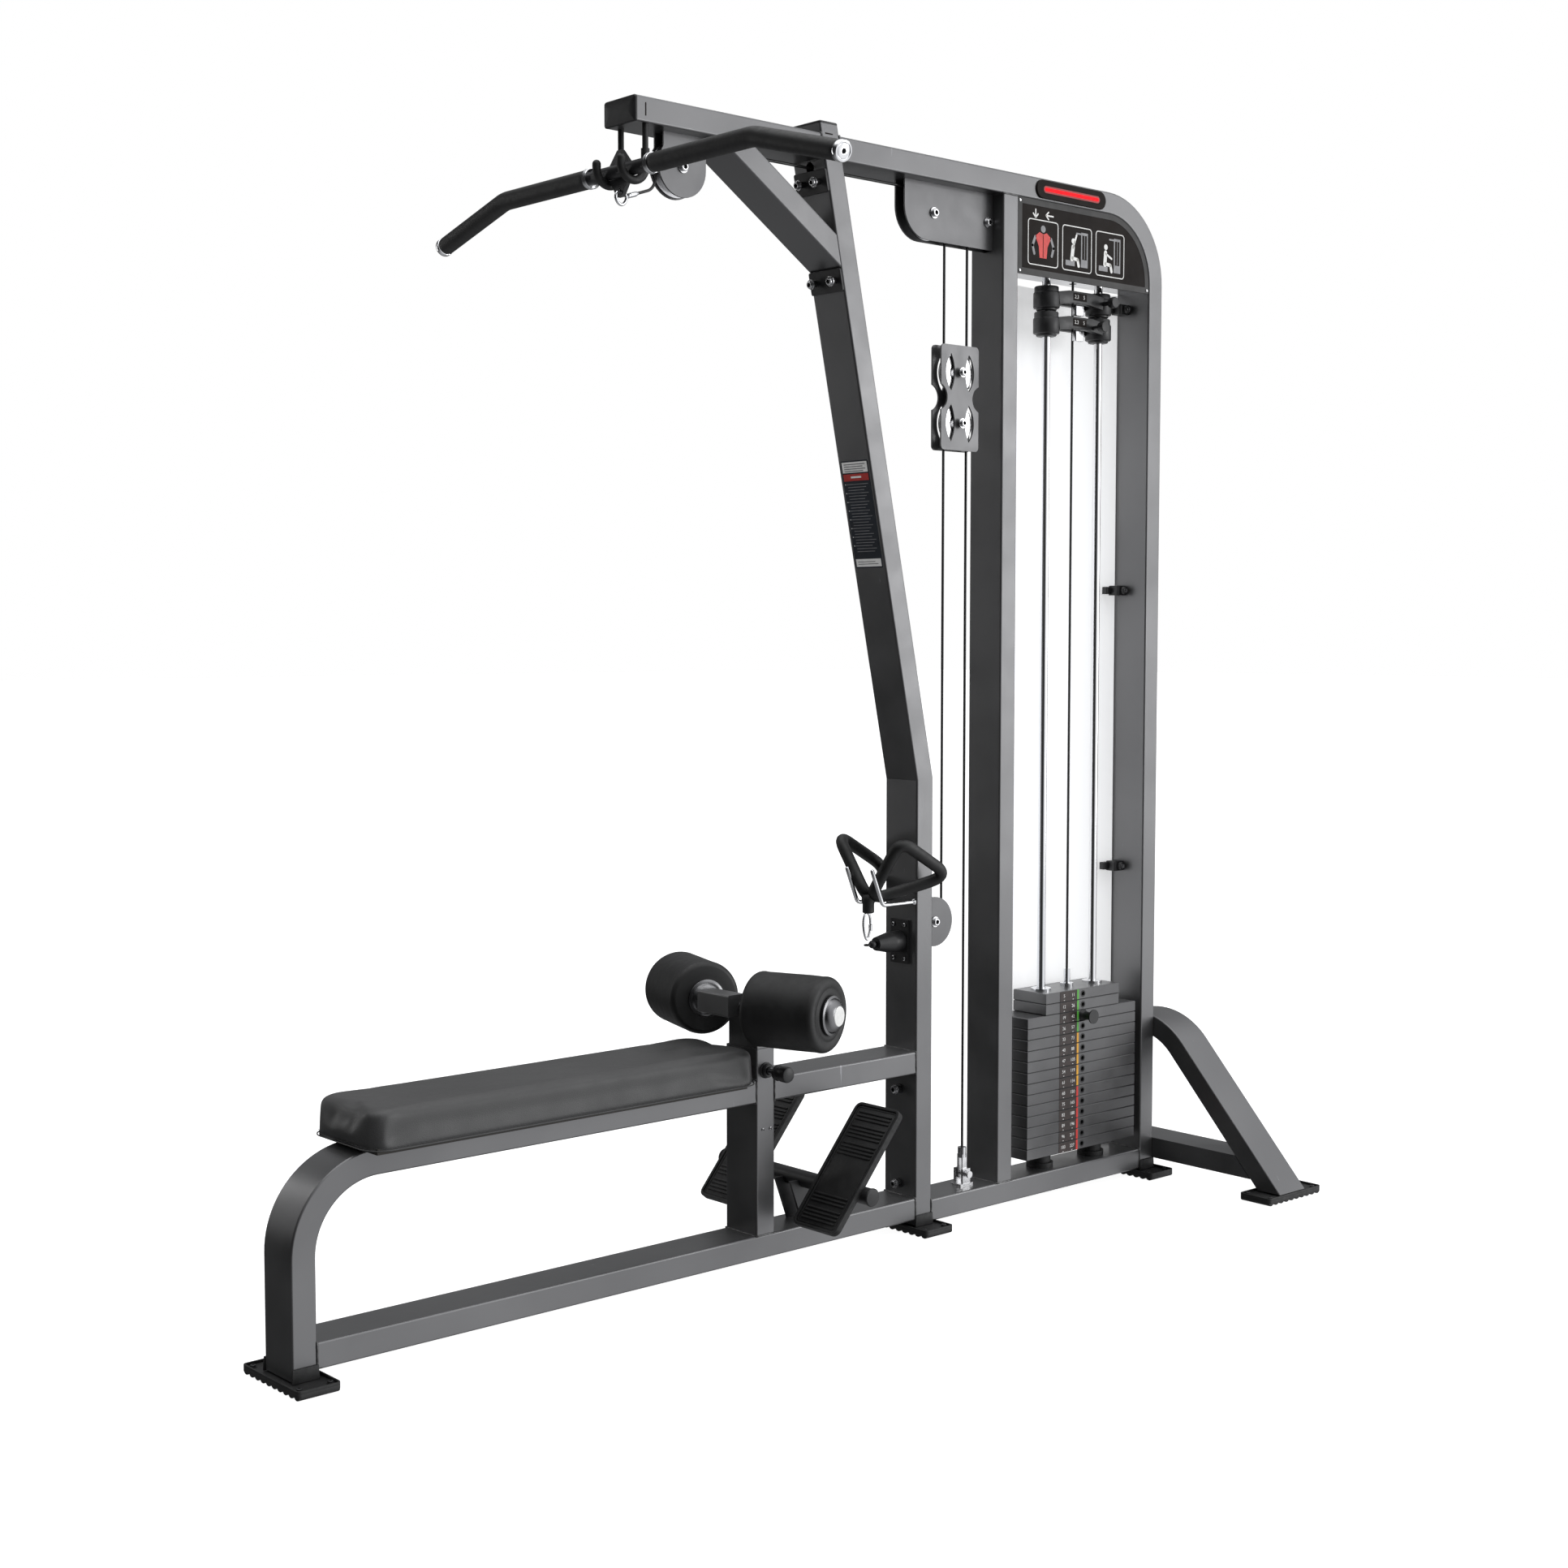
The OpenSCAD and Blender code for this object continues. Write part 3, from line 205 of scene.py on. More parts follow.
def surface(name, dark, light, rough, mottle=6.0, grain=500.0, relief=0.15, depth_m=0.0003,
            cells=False, stretch=None, wear=None, wear_share=0.70, **fixed):
    """Mottled colour, uneven gloss and a fine relief, all from noise in the object's own space.

    dark and light are colours, or single numbers for greys. wear is the colour of small scuffs.
    """
    material = bpy.data.materials.new(name)
    material.use_nodes = True
    tree = material.node_tree
    shader = tree.nodes["Principled BSDF"]
    coords = node_of(tree, "TexCoord").outputs["Object"]
    tones = [(tone, tone, tone) if isinstance(tone, float) else tone for tone in (dark, light)]
    colour = ramp_between(tree, noise_of(tree, coords, mottle, 5, stretch), *tones)
    if wear:
        scuffs = noise_of(tree, coords, 55, 8, (1, 1, 0.12))
        share = ramp_between(tree, scuffs, (0, 0, 0), (1, 1, 1), wear_share, wear_share + 0.03)
        blend = tree.nodes.new("ShaderNodeMix")
        blend.data_type = "RGBA"
        blend.inputs["B"].default_value = (*wear, 1)
        tree.links.new(share, blend.inputs["Factor"])
        tree.links.new(colour, blend.inputs["A"])
        colour = blend.outputs["Result"]
    tree.links.new(colour, shader.inputs["Base Color"])
    gloss = node_of(tree, "MapRange", From_Min=0.3, From_Max=0.7, To_Min=rough[0], To_Max=rough[1])
    tree.links.new(noise_of(tree, coords, mottle * 4, 6, stretch), gloss.inputs["Value"])
    tree.links.new(gloss.outputs[0], shader.inputs["Roughness"])
    bump = node_of(tree, "Bump", Strength=relief, Distance=depth_m)
    height = cells_of(tree, coords, grain) if cells else noise_of(tree, coords, grain, 2, stretch)
    tree.links.new(height, bump.inputs["Height"])
    tree.links.new(bump.outputs[0], shader.inputs["Normal"])
    for socket, value in fixed.items():
        shader.inputs[socket.replace("_", " ")].default_value = value
    return material


def ink(name, dark, light, rough=(0.35, 0.45), mottle=60, **fixed):
    return surface(name, dark, light, rough, mottle, 800, 0.08, **fixed)


PAINT = surface("frame_paint", (0.150, 0.150, 0.153), (0.185, 0.185, 0.188), (0.30, 0.42),
                mottle=3, grain=900, relief=0.10, wear=(0.26, 0.26, 0.27), wear_share=0.73,
                Metallic=0.75, Coat_Weight=0.15, Coat_Roughness=0.2)
WELD = surface("weld_bead", 0.10, 0.19, (0.35, 0.55), mottle=90, grain=260, relief=0.8,
               depth_m=0.001, Metallic=0.75)
PLATE = surface("plate_paint", (0.105, 0.105, 0.107), (0.135, 0.135, 0.137), (0.28, 0.36),
                mottle=5, grain=650, relief=0.12, wear=(0.15, 0.15, 0.155), wear_share=0.75,
                Metallic=0.7)
GUARD = surface("guard_paint", (0.135, 0.135, 0.138), (0.165, 0.165, 0.168), (0.32, 0.44),
                mottle=5, grain=800, relief=0.12, Metallic=0.7)
BAR_STEEL = surface("bar_steel", (0.040, 0.040, 0.042), (0.060, 0.060, 0.062), (0.30, 0.42),
                    mottle=12, grain=700, relief=0.12, Metallic=0.4)
BLACK = surface("black_coating", (0.014, 0.014, 0.015), (0.024, 0.024, 0.025), (0.34, 0.50),
                mottle=14, grain=750, relief=0.22, wear=(0.05, 0.05, 0.05), wear_share=0.74)
PLASTIC = surface("black_plastic", (0.013, 0.013, 0.014), (0.020, 0.020, 0.021), (0.36, 0.48),
                  mottle=18, grain=1100, relief=0.16)
CHROME = surface("chrome", (0.70, 0.71, 0.73), (0.82, 0.82, 0.83), (0.06, 0.15), mottle=9,
                 grain=500, relief=0.05, stretch=(1, 1, 0.08), Metallic=1.0)
HUB = surface("hub_cap", (0.16, 0.16, 0.165), (0.22, 0.22, 0.225), (0.20, 0.30), mottle=14,
              grain=700, relief=0.06, Metallic=1.0)
ZINC = surface("zinc_hardware", (0.55, 0.55, 0.56), (0.74, 0.74, 0.75), (0.18, 0.34), mottle=60,
               grain=900, relief=0.10, Metallic=1.0)
WHEEL = surface("pulley_metal", (0.62, 0.62, 0.63), (0.78, 0.78, 0.79), (0.20, 0.34), mottle=40,
                grain=700, relief=0.08, Metallic=1.0)
RUBBER = surface("foot_rubber", 0.010, 0.019, (0.50, 0.68), mottle=30, grain=420, relief=0.35,
                 depth_m=0.0005)
GRIP = surface("grip_rubber", 0.009, 0.016, (0.44, 0.58), mottle=30, grain=620, relief=0.20)
FOAM = surface("roller_foam", 0.008, 0.014, (0.44, 0.58), mottle=16, grain=820, relief=0.25,
               depth_m=0.0004)
VINYL = surface("pad_vinyl", 0.046, 0.060, (0.40, 0.54), mottle=5, grain=640, relief=0.42,
                depth_m=0.0005, cells=True)
THREAD = surface("pad_thread", 0.02, 0.05, (0.6, 0.8), mottle=120, grain=900, relief=0.5)
BOARD = surface("pad_board", (0.016, 0.014, 0.012), (0.030, 0.026, 0.022), (0.55, 0.75),
                mottle=9, grain=160, relief=0.3, stretch=(0.12, 1, 1))
# shroud sheet: its emission is a painted glow, and its colour streaks up and down as painted highlights on
# the curved sheet
SHEET_PAINTED_GLOW = surface("shroud_sheet", (0.84, 0.85, 0.87), (0.93, 0.94, 0.95), (0.22, 0.34), mottle=1.6,
                grain=90, relief=0.06, stretch=(1, 1, 0.06), Emission_Color=(1, 1, 1, 1),
                Emission_Strength=0.45)
SIGN = surface("sign_face", (0.009, 0.006, 0.005), (0.014, 0.010, 0.008), (0.50, 0.60), mottle=12,
               grain=600, relief=0.05, Specular_IOR_Level=0.12)
BORDER = surface("sign_border", (0.036, 0.035, 0.034), (0.050, 0.049, 0.048), (0.45, 0.58),
                 mottle=12, grain=700, relief=0.14, Specular_IOR_Level=0.4)
LABEL = surface("label_brown", (0.020, 0.011, 0.009), (0.034, 0.019, 0.016), (0.40, 0.52),
                mottle=70, grain=700, relief=0.12)
# white print with a faint emission: a painted glow that makes the print brighter than the light falling on
# it
WHITE_PAINTED_GLOW = ink("print_white_painted_glow", (0.72, 0.72, 0.70), (0.86, 0.86, 0.84), Emission_Color=(1, 1, 1, 1),
            Emission_Strength=0.12)
GREY = ink("print_grey", (0.24, 0.24, 0.25), (0.32, 0.32, 0.33))
RED = ink("print_red", (0.62, 0.025, 0.020), (0.78, 0.045, 0.035))
NAVY = ink("print_navy", (0.004, 0.010, 0.020), (0.009, 0.018, 0.032), (0.45, 0.55), 30)
GREEN = ink("label_green", (0.085, 0.42, 0.045), (0.14, 0.56, 0.08), (0.4, 0.5))
AMBER = ink("label_amber", (0.80, 0.36, 0.015), (0.92, 0.47, 0.03), (0.4, 0.5))
CABLE = surface("cable_coat", 0.010, 0.020, (0.28, 0.40), mottle=60, grain=900, relief=0.2)
GLOW = surface("light_bar", (0.30, 0.01, 0.01), (0.40, 0.02, 0.02), (0.5, 0.6), mottle=80,
               Emission_Color=(1.0, 0.0, 0.01, 1), Emission_Strength=1.0, Specular_IOR_Level=0.1)
HALO = surface("light_halo", (0.10, 0.004, 0.004), (0.15, 0.006, 0.006), (0.3, 0.4), mottle=30,
               Emission_Color=(0.8, 0.01, 0.01, 1), Emission_Strength=0.25)
FLOOR = surface("floor_white", 0.46, 0.50, (0.6, 0.8), mottle=0.6, grain=30, relief=0.02,
                Emission_Color=(1, 1, 1, 1), Emission_Strength=0.94)

CAD_FINISH = {
    PAINT: ("front_frame", "seat_rail_rear", "seat_post", "base_rail_front", "base_rail_rear",
            "mid_post", "front_upright", "tower_frame", "front_arm", "arm_brace", "rear_arch",
            "rear_cross_tube", "thigh_post"),
    GUARD: ("pulley_guards", "block_plates"),
    PLATE: ("lower_stack", "lifted_plate", "stack_head"),
    BAR_STEEL: ("lat_bar",),
    BLACK: ("foot_cross_tube", "addon_lower", "addon_upper"),
    PLASTIC: ("row_cable_nose", "selector_pin", "addon_knob_lower", "addon_knob_upper"),
    CHROME: ("guide_rods", "selector_rod"),
    ZINC: ("cable_anchor",),
    WHEEL: ("front_pulley", "top_pulley_front", "top_pulley_rear", "stack_pulley", "low_pulley",
            "block_pulley_upper", "block_pulley_lower"),
    RUBBER: ("rod_bumpers",),
    GRIP: ("bar_hooks",),
    BOARD: ("seat_board",),
    SHEET_PAINTED_GLOW: ("shroud_panel",),
    CABLE: ("fixed_cables",),
}
for finish, names in CAD_FINISH.items():
    for name in names:
        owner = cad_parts[name]
        if not owner.data.materials:
            owner.data.materials.append(finish)
        for place in owner.material_slots:
            place.material = finish


# ---------------------------------------------------------------- mesh helpers
def basis(origin, x_dir, z_dir):
    """Matrix from local millimetres to the row frame, with the given local X and Z directions."""
    z_axis = Vector(z_dir).normalized()
    x_axis = Vector(x_dir)
    x_axis = (x_axis - z_axis * x_axis.dot(z_axis)).normalized()
    y_axis = z_axis.cross(x_axis)
    turned = Matrix((x_axis, y_axis, z_axis)).transposed().to_4x4()
    return Matrix.Translation(at(*origin)) @ turned @ Matrix.Scale(MM, 4)


def side_view(y):
    """Local X is X, local Y is Z, and local Z points at the near side, from the plane at y."""
    return basis((0, y, 0), ALONG, -ACROSS)


def axis_basis(origin, direction):
    direction = Vector(direction).normalized()
    helper = UP if abs(direction.z) < 0.9 else ALONG
    return basis(origin, helper.cross(direction), direction)


def ring_at(bm, place, outline, z):
    return [bm.verts.new(place @ Vector((x, y, z))) for x, y in outline]


def add_faces(bm, rings, mat, closed_ends=True):
    """Skin between successive closed rings of vertices; a ring of one vertex is a pole."""
    made = []
    for first, second in zip(rings, rings[1:]):
        count = max(len(first), len(second))
        for i in range(count):
            j = (i + 1) % count
            corners = [first[i % len(first)], first[j % len(first)],
                       second[j % len(second)], second[i % len(second)]]
            unique = list(dict.fromkeys(corners))
            if len(unique) > 2:
                made.append(bm.faces.new(unique))
    if closed_ends:
        for ring, flip in ((rings[0], True), (rings[-1], False)):
            if len(ring) > 2:
                made.append(bm.faces.new(ring[::-1] if flip else ring))
    for face in made:
        face.material_index = mat
        face.smooth = True


def add_prism(bm, outline, depth, place, mat=0, start=0.0, inset=0.0):
    """Outline in local XY raised along local Z; inset chamfers the far edge."""
    rings = [ring_at(bm, place, outline, start)]
    if inset:
        rings.append(ring_at(bm, place, outline, start + depth - inset))
        outline = shrink(outline, inset)
    rings.append(ring_at(bm, place, outline, start + depth))
    add_faces(bm, rings, mat)


def shrink(outline, amount):
    """Outline moved inwards by amount along its corner normals (counter-clockwise outline)."""
    count = len(outline)
    made = []
    for i, (x, y) in enumerate(outline):
        before = Vector(outline[i - 1])
        here = Vector((x, y))
        after = Vector(outline[(i + 1) % count])
        first = (here - before).normalized()
        second = (after - here).normalized()
        normal = Vector((-first.y - second.y, first.x + second.x))
        normal = normal.normalized() if normal.length > 1e-9 else Vector((-first.y, first.x))
        cosine = max(0.5, normal.dot(Vector((-first.y, first.x))))
        moved = here + normal * amount / cosine
        made.append((moved.x, moved.y))
    return made


def turn(steps):
    """Angles evenly spaced round a full turn."""
    return [2 * math.pi * i / steps for i in range(steps)]


def add_lathe(bm, profile, place, mat=0, steps=40, closed_ends=False):
    """Profile of (radius, height) turned round local Z."""
    rings = []
    for radius, height in profile:
        angles = turn(steps) if radius else [0]
        circle = [(radius * math.cos(a), radius * math.sin(a)) for a in angles]
        rings.append(ring_at(bm, place, circle, height))
    add_faces(bm, rings, mat, closed_ends)


def add_tube(bm, path, radius, mat=0, sides=16, closed=False, radii=None):
    """Round bar along points of (x, y, z); a closed path has no ends."""
    points = [at(*p) for p in path]
    count = len(points)
    if closed:
        ahead = [(points[(i + 1) % count] - points[i - 1]).normalized() for i in range(count)]
    else:
        ahead = [(points[min(i + 1, count - 1)] - points[max(i - 1, 0)]).normalized()
                 for i in range(count)]
    side = ahead[0].orthogonal().normalized()
    rings = []
    for i, point in enumerate(points):
        side = (side - ahead[i] * side.dot(ahead[i])).normalized()
        other = ahead[i].cross(side)
        size = (radii[i] if radii else radius) * MM
        rings.append([bm.verts.new(point + (side * math.cos(a) + other * math.sin(a)) * size)
                      for a in turn(sides)])
    if closed:
        # the last ring joins the first at the shift that lines their vertices up best
        first, last = rings[0], rings[-1]
        shift = min(range(sides), key=lambda t: (first[t].co - last[0].co).length)
        rings.append(first[shift:] + first[:shift])
    add_faces(bm, rings, mat, closed_ends=not closed)


def round_box(a, b, r, steps=6, centre=(0, 0)):
    """Counter-clockwise rectangle a by b with round corners."""
    made = []
    for sx, sy, start in ((1, 1, 0), (-1, 1, 90), (-1, -1, 180), (1, -1, 270)):
        for i in range(steps + 1):
            angle = math.radians(start + 90 * i / steps)
            made.append((centre[0] + sx * (a / 2 - r) + r * math.cos(angle),
                         centre[1] + sy * (b / 2 - r) + r * math.sin(angle)))
    return made


def rect(x0, y0, x1, y1):
    return [(x0, y0), (x1, y0), (x1, y1), (x0, y1)]


def arc(centre, radius, start, end, steps):
    angles = [math.radians(start + (end - start) * i / steps) for i in range(steps + 1)]
    return [(centre[0] + radius * math.cos(a), centre[1] + radius * math.sin(a)) for a in angles]


def ring_prism(bm, outer, inner, depth, place, mat=0, start=0.0):
    """Flat frame between two outlines with the same number of points."""
    levels = [(outer, start), (outer, start + depth), (inner, start + depth), (inner, start)]
    rings = [ring_at(bm, place, line, z) for line, z in levels]
    add_faces(bm, rings + [rings[0]], mat, closed_ends=False)


def fillet(points, radius, steps=8, closed=False):
    """Points of a polyline in space with its corners rounded."""
    points = [Vector(p) for p in points]
    count = len(points)
    made = []
    for i, here in enumerate(points):
        if not closed and i in (0, count - 1):
            made.append(here)
            continue
        to_last = points[i - 1] - here
        to_next = points[(i + 1) % count] - here
        half = to_last.angle(to_next) / 2
        cut = min(radius / math.tan(half), 0.48 * to_last.length, 0.48 * to_next.length)
        start = here + to_last.normalized() * cut
        end = here + to_next.normalized() * cut
        for k in range(steps + 1):
            t = k / steps
            made.append(start * (1 - t) ** 2 + here * 2 * t * (1 - t) + end * t ** 2)
    return made


def spaced(points, step):
    """The same line with points no further apart than step."""
    made = [Vector(points[0])]
    for first, second in zip(points, points[1:]):
        first, second = Vector(first), Vector(second)
        parts = max(1, math.ceil((second - first).length / step))
        made += [first + (second - first) * (k / parts) for k in range(1, parts + 1)]
    return made


def piece(name, bm, mats, body, stands_for=(), edge=0.0, crease=38):
    """Turns a bmesh into an object that rides on a body. edge rounds its sharp edges."""
    bmesh.ops.remove_doubles(bm, verts=bm.verts, dist=1e-6)
    bmesh.ops.recalc_face_normals(bm, faces=bm.faces)
    if edge:
        sharp = [e for e in bm.edges if len(e.link_faces) == 2
                 and e.calc_face_angle(0) > math.radians(crease)]
        bmesh.ops.bevel(bm, geom=sharp, offset=edge * MM, segments=2, profile=0.5,
                        affect="EDGES", clamp_overlap=True)
    mesh = bpy.data.meshes.new(name)
    bm.to_mesh(mesh)
    bm.free()
    for mat in mats:
        mesh.materials.append(mat)
    mesh.shade_smooth()
    mesh.set_sharp_from_angle(angle=math.radians(crease))
    made = bpy.data.objects.new(name, mesh)
    scene.collection.objects.link(made)
    if body:
        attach(made, body)
    if stands_for:
        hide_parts(*stands_for)
    return made


def add_text(bm, words, height, place, mat):
    """Digits as flat outlines, centred on the place's origin."""
    curve = bpy.data.curves.new("digits", "FONT")
    curve.body = words
    curve.size = height
    curve.align_x = "CENTER"
    curve.align_y = "CENTER"
    holder = bpy.data.objects.new("digits", curve)
    scene.collection.objects.link(holder)
    bpy.context.view_layer.update()
    flat = bpy.data.meshes.new_from_object(holder)
    before = len(bm.faces)
    start = len(bm.verts)
    bm.from_mesh(flat)
    bm.verts.ensure_lookup_table()
    bm.faces.ensure_lookup_table()
    for vert in bm.verts[start:]:
        vert.co = place @ vert.co
    for face in bm.faces[before:]:
        face.material_index = mat
    bpy.data.objects.remove(holder)
    bpy.data.meshes.remove(flat)


# ---------------------------------------------------------------- drive cables
CABLE_R = 3
SIDES = 14
# how far apart the rings of a cable are: on long runs, round its bends, and where it runs out most
LONG_STEP = 20
FINE_STEP = 3
OUTLET_STEP = 0.6


def cable(name, path, step, stands_for=()):
    """Cable along the path, with rings no further apart than step."""
    bm = bmesh.new()
    add_tube(bm, spaced(path, step), CABLE_R, sides=SIDES)
    made = piece(name, bm, [CABLE], None, stands_for)
    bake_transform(made)


LINE_FRONT = low("block_cables").x + CABLE_R
LINE_REAR = high("block_cables").x - CABLE_R
SMALL_R = (LINE_REAR - LINE_FRONT) / 2
LINE_TOP = high("block_cables").z
ANCHOR_TOP = low("block_cables").z
upper_wheel = centre_of("block_pulley_upper")
lower_wheel = centre_of("block_pulley_lower")
low_wheel = centre_of("low_pulley")
front_wheel = centre_of("front_pulley")
FIXED_WHEELS = (front_wheel, centre_of("top_pulley_front"), centre_of("top_pulley_rear"),
                centre_of("stack_pulley"), low_wheel)

for name, x, fixed_z, block_z in (("block_line_front_upper", LINE_FRONT, LINE_TOP, upper_wheel.z),
                                  ("block_line_rear_upper", LINE_REAR, LINE_TOP, upper_wheel.z),
                                  ("block_line_front_lower", LINE_FRONT, low_wheel.z, lower_wheel.z),
                                  ("block_line_rear_lower", LINE_REAR, ANCHOR_TOP, lower_wheel.z)):
    cable(name, [(x, 0, fixed_z), (x, 0, block_z)], LONG_STEP)
bm = bmesh.new()
for centre, first, last in ((upper_wheel, 180, 360), (lower_wheel, 0, 180)):
    half_turn = [(x, 0, z) for x, z in arc((centre.x, centre.z), SMALL_R, first, last, 32)]
    add_tube(bm, half_turn, CABLE_R, sides=SIDES)
piece("block_cable_turns", bm, [CABLE], "block", ["block_cables"])

STACK_X = centre_of("stack_cable").x
cable("stack_cable_run", [(STACK_X, 0, high("stack_cable").z), (STACK_X, 0, low("stack_cable").z)],
      25, ["stack_cable"])

# slack piece from the front pulley to the ring of the lat bar's snap hook, and its socket
BAR_X = centre_of("lat_bar").x
BAR_BELOW_TOP = 40
RING_BELOW_BAR = 51.5
BAR_Z = high("lat_bar").z - BAR_BELOW_TOP
RING_Z = BAR_Z - RING_BELOW_BAR
SOCKET_GAP = 17
SOCKET_LEN = 26
SLACK_TOP = Vector((front_wheel.x - 50, 0, front_wheel.z - 1.2))
SLACK_MID = SLACK_TOP - Vector((12, 0, 48))
RING_AT = Vector((BAR_X, 0, RING_Z))
slack_dir = (SLACK_MID - RING_AT).normalized()
SLACK_LOW = RING_AT + slack_dir * SOCKET_GAP
SLACK_END = SLACK_LOW + slack_dir * SOCKET_LEN
bar_run = fillet([SLACK_TOP, SLACK_MID, SLACK_END], 30, 10)
bend = len(bar_run) // 2
cable("bar_cable_upper", bar_run[:bend + 1], FINE_STEP, ["bar_cable"])
cable("bar_cable_lower", bar_run[bend:], FINE_STEP)

# row cable at its outlet, its stop ball, and the sewn eye that the snap link clips into
MID_POST = high("base_rail_front").x
ROW_Z = low("fixed_cables").z + CABLE_R
NOSE_END = low("row_cable_nose").x
BALL_X = centre_of("row_pull_cable").x
BALL_R = 9
EYE_R = 5.5
EYE_X = BALL_X - 11 - EYE_R
cable("row_cable_outlet", [(NOSE_END + 12, 0, ROW_Z), (BALL_X + 2, 0, ROW_Z)],
      OUTLET_STEP)
bm = bmesh.new()
ball = [(BALL_R * math.sin(math.pi * i / 16), -BALL_R * math.cos(math.pi * i / 16)) for i in range(1, 16)]
add_lathe(bm, [(0, -BALL_R)] + ball + [(0, BALL_R)], axis_basis((BALL_X, 0, ROW_Z), -ALONG), steps=32)
piece("row_stop_ball", bm, [PLASTIC], "row_line", ["row_pull_cable"])
bm = bmesh.new()
add_tube(bm, [(BALL_X - 6, 0, ROW_Z), (BALL_X - 12, 0, ROW_Z)], CABLE_R, sides=SIDES)
eye_loop = [(EYE_X + EYE_R * math.cos(a), EYE_R * math.sin(a), ROW_Z) for a in turn(24)]
add_tube(bm, eye_loop, 2.2, sides=10, closed=True)
piece("row_cable_eye", bm, [CABLE], "row_line")

# ---------------------------------------------------------------- seat pad
pad_low, pad_high = low("seat_pad"), high("seat_pad")
PAD_LEN = pad_high.x - pad_low.x
PAD_WID = pad_high.y - pad_low.y
PAD_MID = centre_of("seat_pad")
PAD_CORNER = 45
PAD_RISE = 9                      # how far the padding stands above its plain CAD block
SWELL = 3.0                       # the pad starts this much smaller on each side
HELD_HEIGHT = 4                   # the cover is fixed to its board up to this height
BENDING = 12                      # a stiff cover, so that the corners crease little
PRESSURE = 4
SIM_STEPS = 20
LOWEST = 0.3                      # the cover stays within these of the pad's foot and top
HIGHEST = 0.5
VOXEL_M = 0.006
MOST_MOVE_M = 0.008


def pad_rings(bm):
    """Closed pad: rounded lower edge, upright sides, a soft upper edge and a crowned top."""
    bottom, top = pad_low.z, pad_high.z + PAD_RISE - SWELL
    levels = [(6, bottom), (2, bottom + 1.5), (0, bottom + 5), (0, top - 10), (0.8, top - 6.5),
              (3, top - 3), (7, top - 1), (13, top - 0.5), (40, top - 0.2), (80, top)]
    rings = []
    for inset, z in levels:
        inset += SWELL
        outline = round_box(PAD_LEN - 2 * inset, PAD_WID - 2 * inset, max(6, PAD_CORNER - inset), 10)
        rings.append([bm.verts.new(at(PAD_MID.x + x, PAD_MID.y + y, z)) for x, y in outline])
    add_faces(bm, rings, 0)


def swollen(obj):
    """Inflates a closed piece with cloth pressure, and limits how far each point moves."""
    remesh = obj.modifiers.new("voxels", "REMESH")
    remesh.mode = "VOXEL"
    remesh.voxel_size = VOXEL_M
    bpy.context.view_layer.objects.active = obj
    obj.select_set(True)
    bpy.ops.object.modifier_apply(modifier=remesh.name)
    start = [v.co.copy() for v in obj.data.vertices]
    held = obj.vertex_groups.new(name="held")
    held.add([i for i, co in enumerate(start) if co.z < (pad_low.z + HELD_HEIGHT) * MM], 1.0, "REPLACE")
    cloth = obj.modifiers.new("air", "CLOTH")
    cloth.settings.use_pressure = True
    cloth.settings.uniform_pressure_force = PRESSURE
    cloth.settings.effector_weights.gravity = 0
    cloth.settings.bending_stiffness = BENDING
    cloth.settings.vertex_group_mass = held.name
    for step in range(1, SIM_STEPS + 1):
        scene.frame_set(step)
    shaped = obj.evaluated_get(bpy.context.evaluated_depsgraph_get())
    moved = [v.co.copy() for v in shaped.data.vertices]
    obj.modifiers.remove(cloth)
    for vert, before, after in zip(obj.data.vertices, start, moved):
        shift = after - before
        if shift.length > MOST_MOVE_M:
            shift *= MOST_MOVE_M / shift.length
        vert.co = before + shift
    scene.frame_set(1)


bm = bmesh.new()
pad_rings(bm)
seat = piece("seat_cushion", bm, [VINYL], None, crease=80)
swollen(seat)
for vert in seat.data.vertices:
    vert.co.z = max(vert.co.z, (pad_low.z + LOWEST) * MM)
    vert.co.z = min(vert.co.z, (pad_high.z + PAD_RISE + HIGHEST) * MM)
smoothing = seat.modifiers.new("even", "SMOOTH")
smoothing.factor = 0.5
smoothing.iterations = 6
finer = seat.modifiers.new("finer", "SUBSURF")
finer.levels = 1
finer.render_levels = 1
seat.data.shade_smooth()
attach(seat, "frame")
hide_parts("seat_pad")

# a sewn seam round the lower part of the cover, with a row of stitches above it
SEAM_Z = pad_low.z + 5
STITCH = 7
bm = bmesh.new()
seam = [(PAD_MID.x + x, PAD_MID.y + y, SEAM_Z)
        for x, y in round_box(PAD_LEN + 0.4, PAD_WID + 0.4, PAD_CORNER, 12)]
add_tube(bm, seam, 1.3, sides=8, closed=True)
stitch_line = [point + Vector((0, 0, 4.2)) for point in spaced(seam + seam[:1], STITCH)]
for first, second in list(zip(stitch_line, stitch_line[1:]))[::2]:
    if (second - first).length > 1:
        add_tube(bm, [first, second], 0.45, 1, sides=6)
piece("seat_seam", bm, [VINYL, THREAD], "frame", crease=80)

# ---------------------------------------------------------------- foam rollers
ROLLER_R = (high("roller_pad_left").z - low("roller_pad_left").z) / 2
ROLLER_TURN = math.radians(72)    # from the machine's length, so the axles lean back by 18 degrees
ROLLER_IN = 85
ROLLER_LEN = 176
FOAM_EDGE = 13
BARREL = 1.2                      # how much thinner a roller is at its ends
BARREL_STEPS = 14
AXLE_IN = 50
HUB_R = 13
SLEEVE_R = 13.2
CAP_R = 20.6


def roller_axis(side):
    return Vector((math.cos(ROLLER_TURN), side * math.sin(ROLLER_TURN), 0))


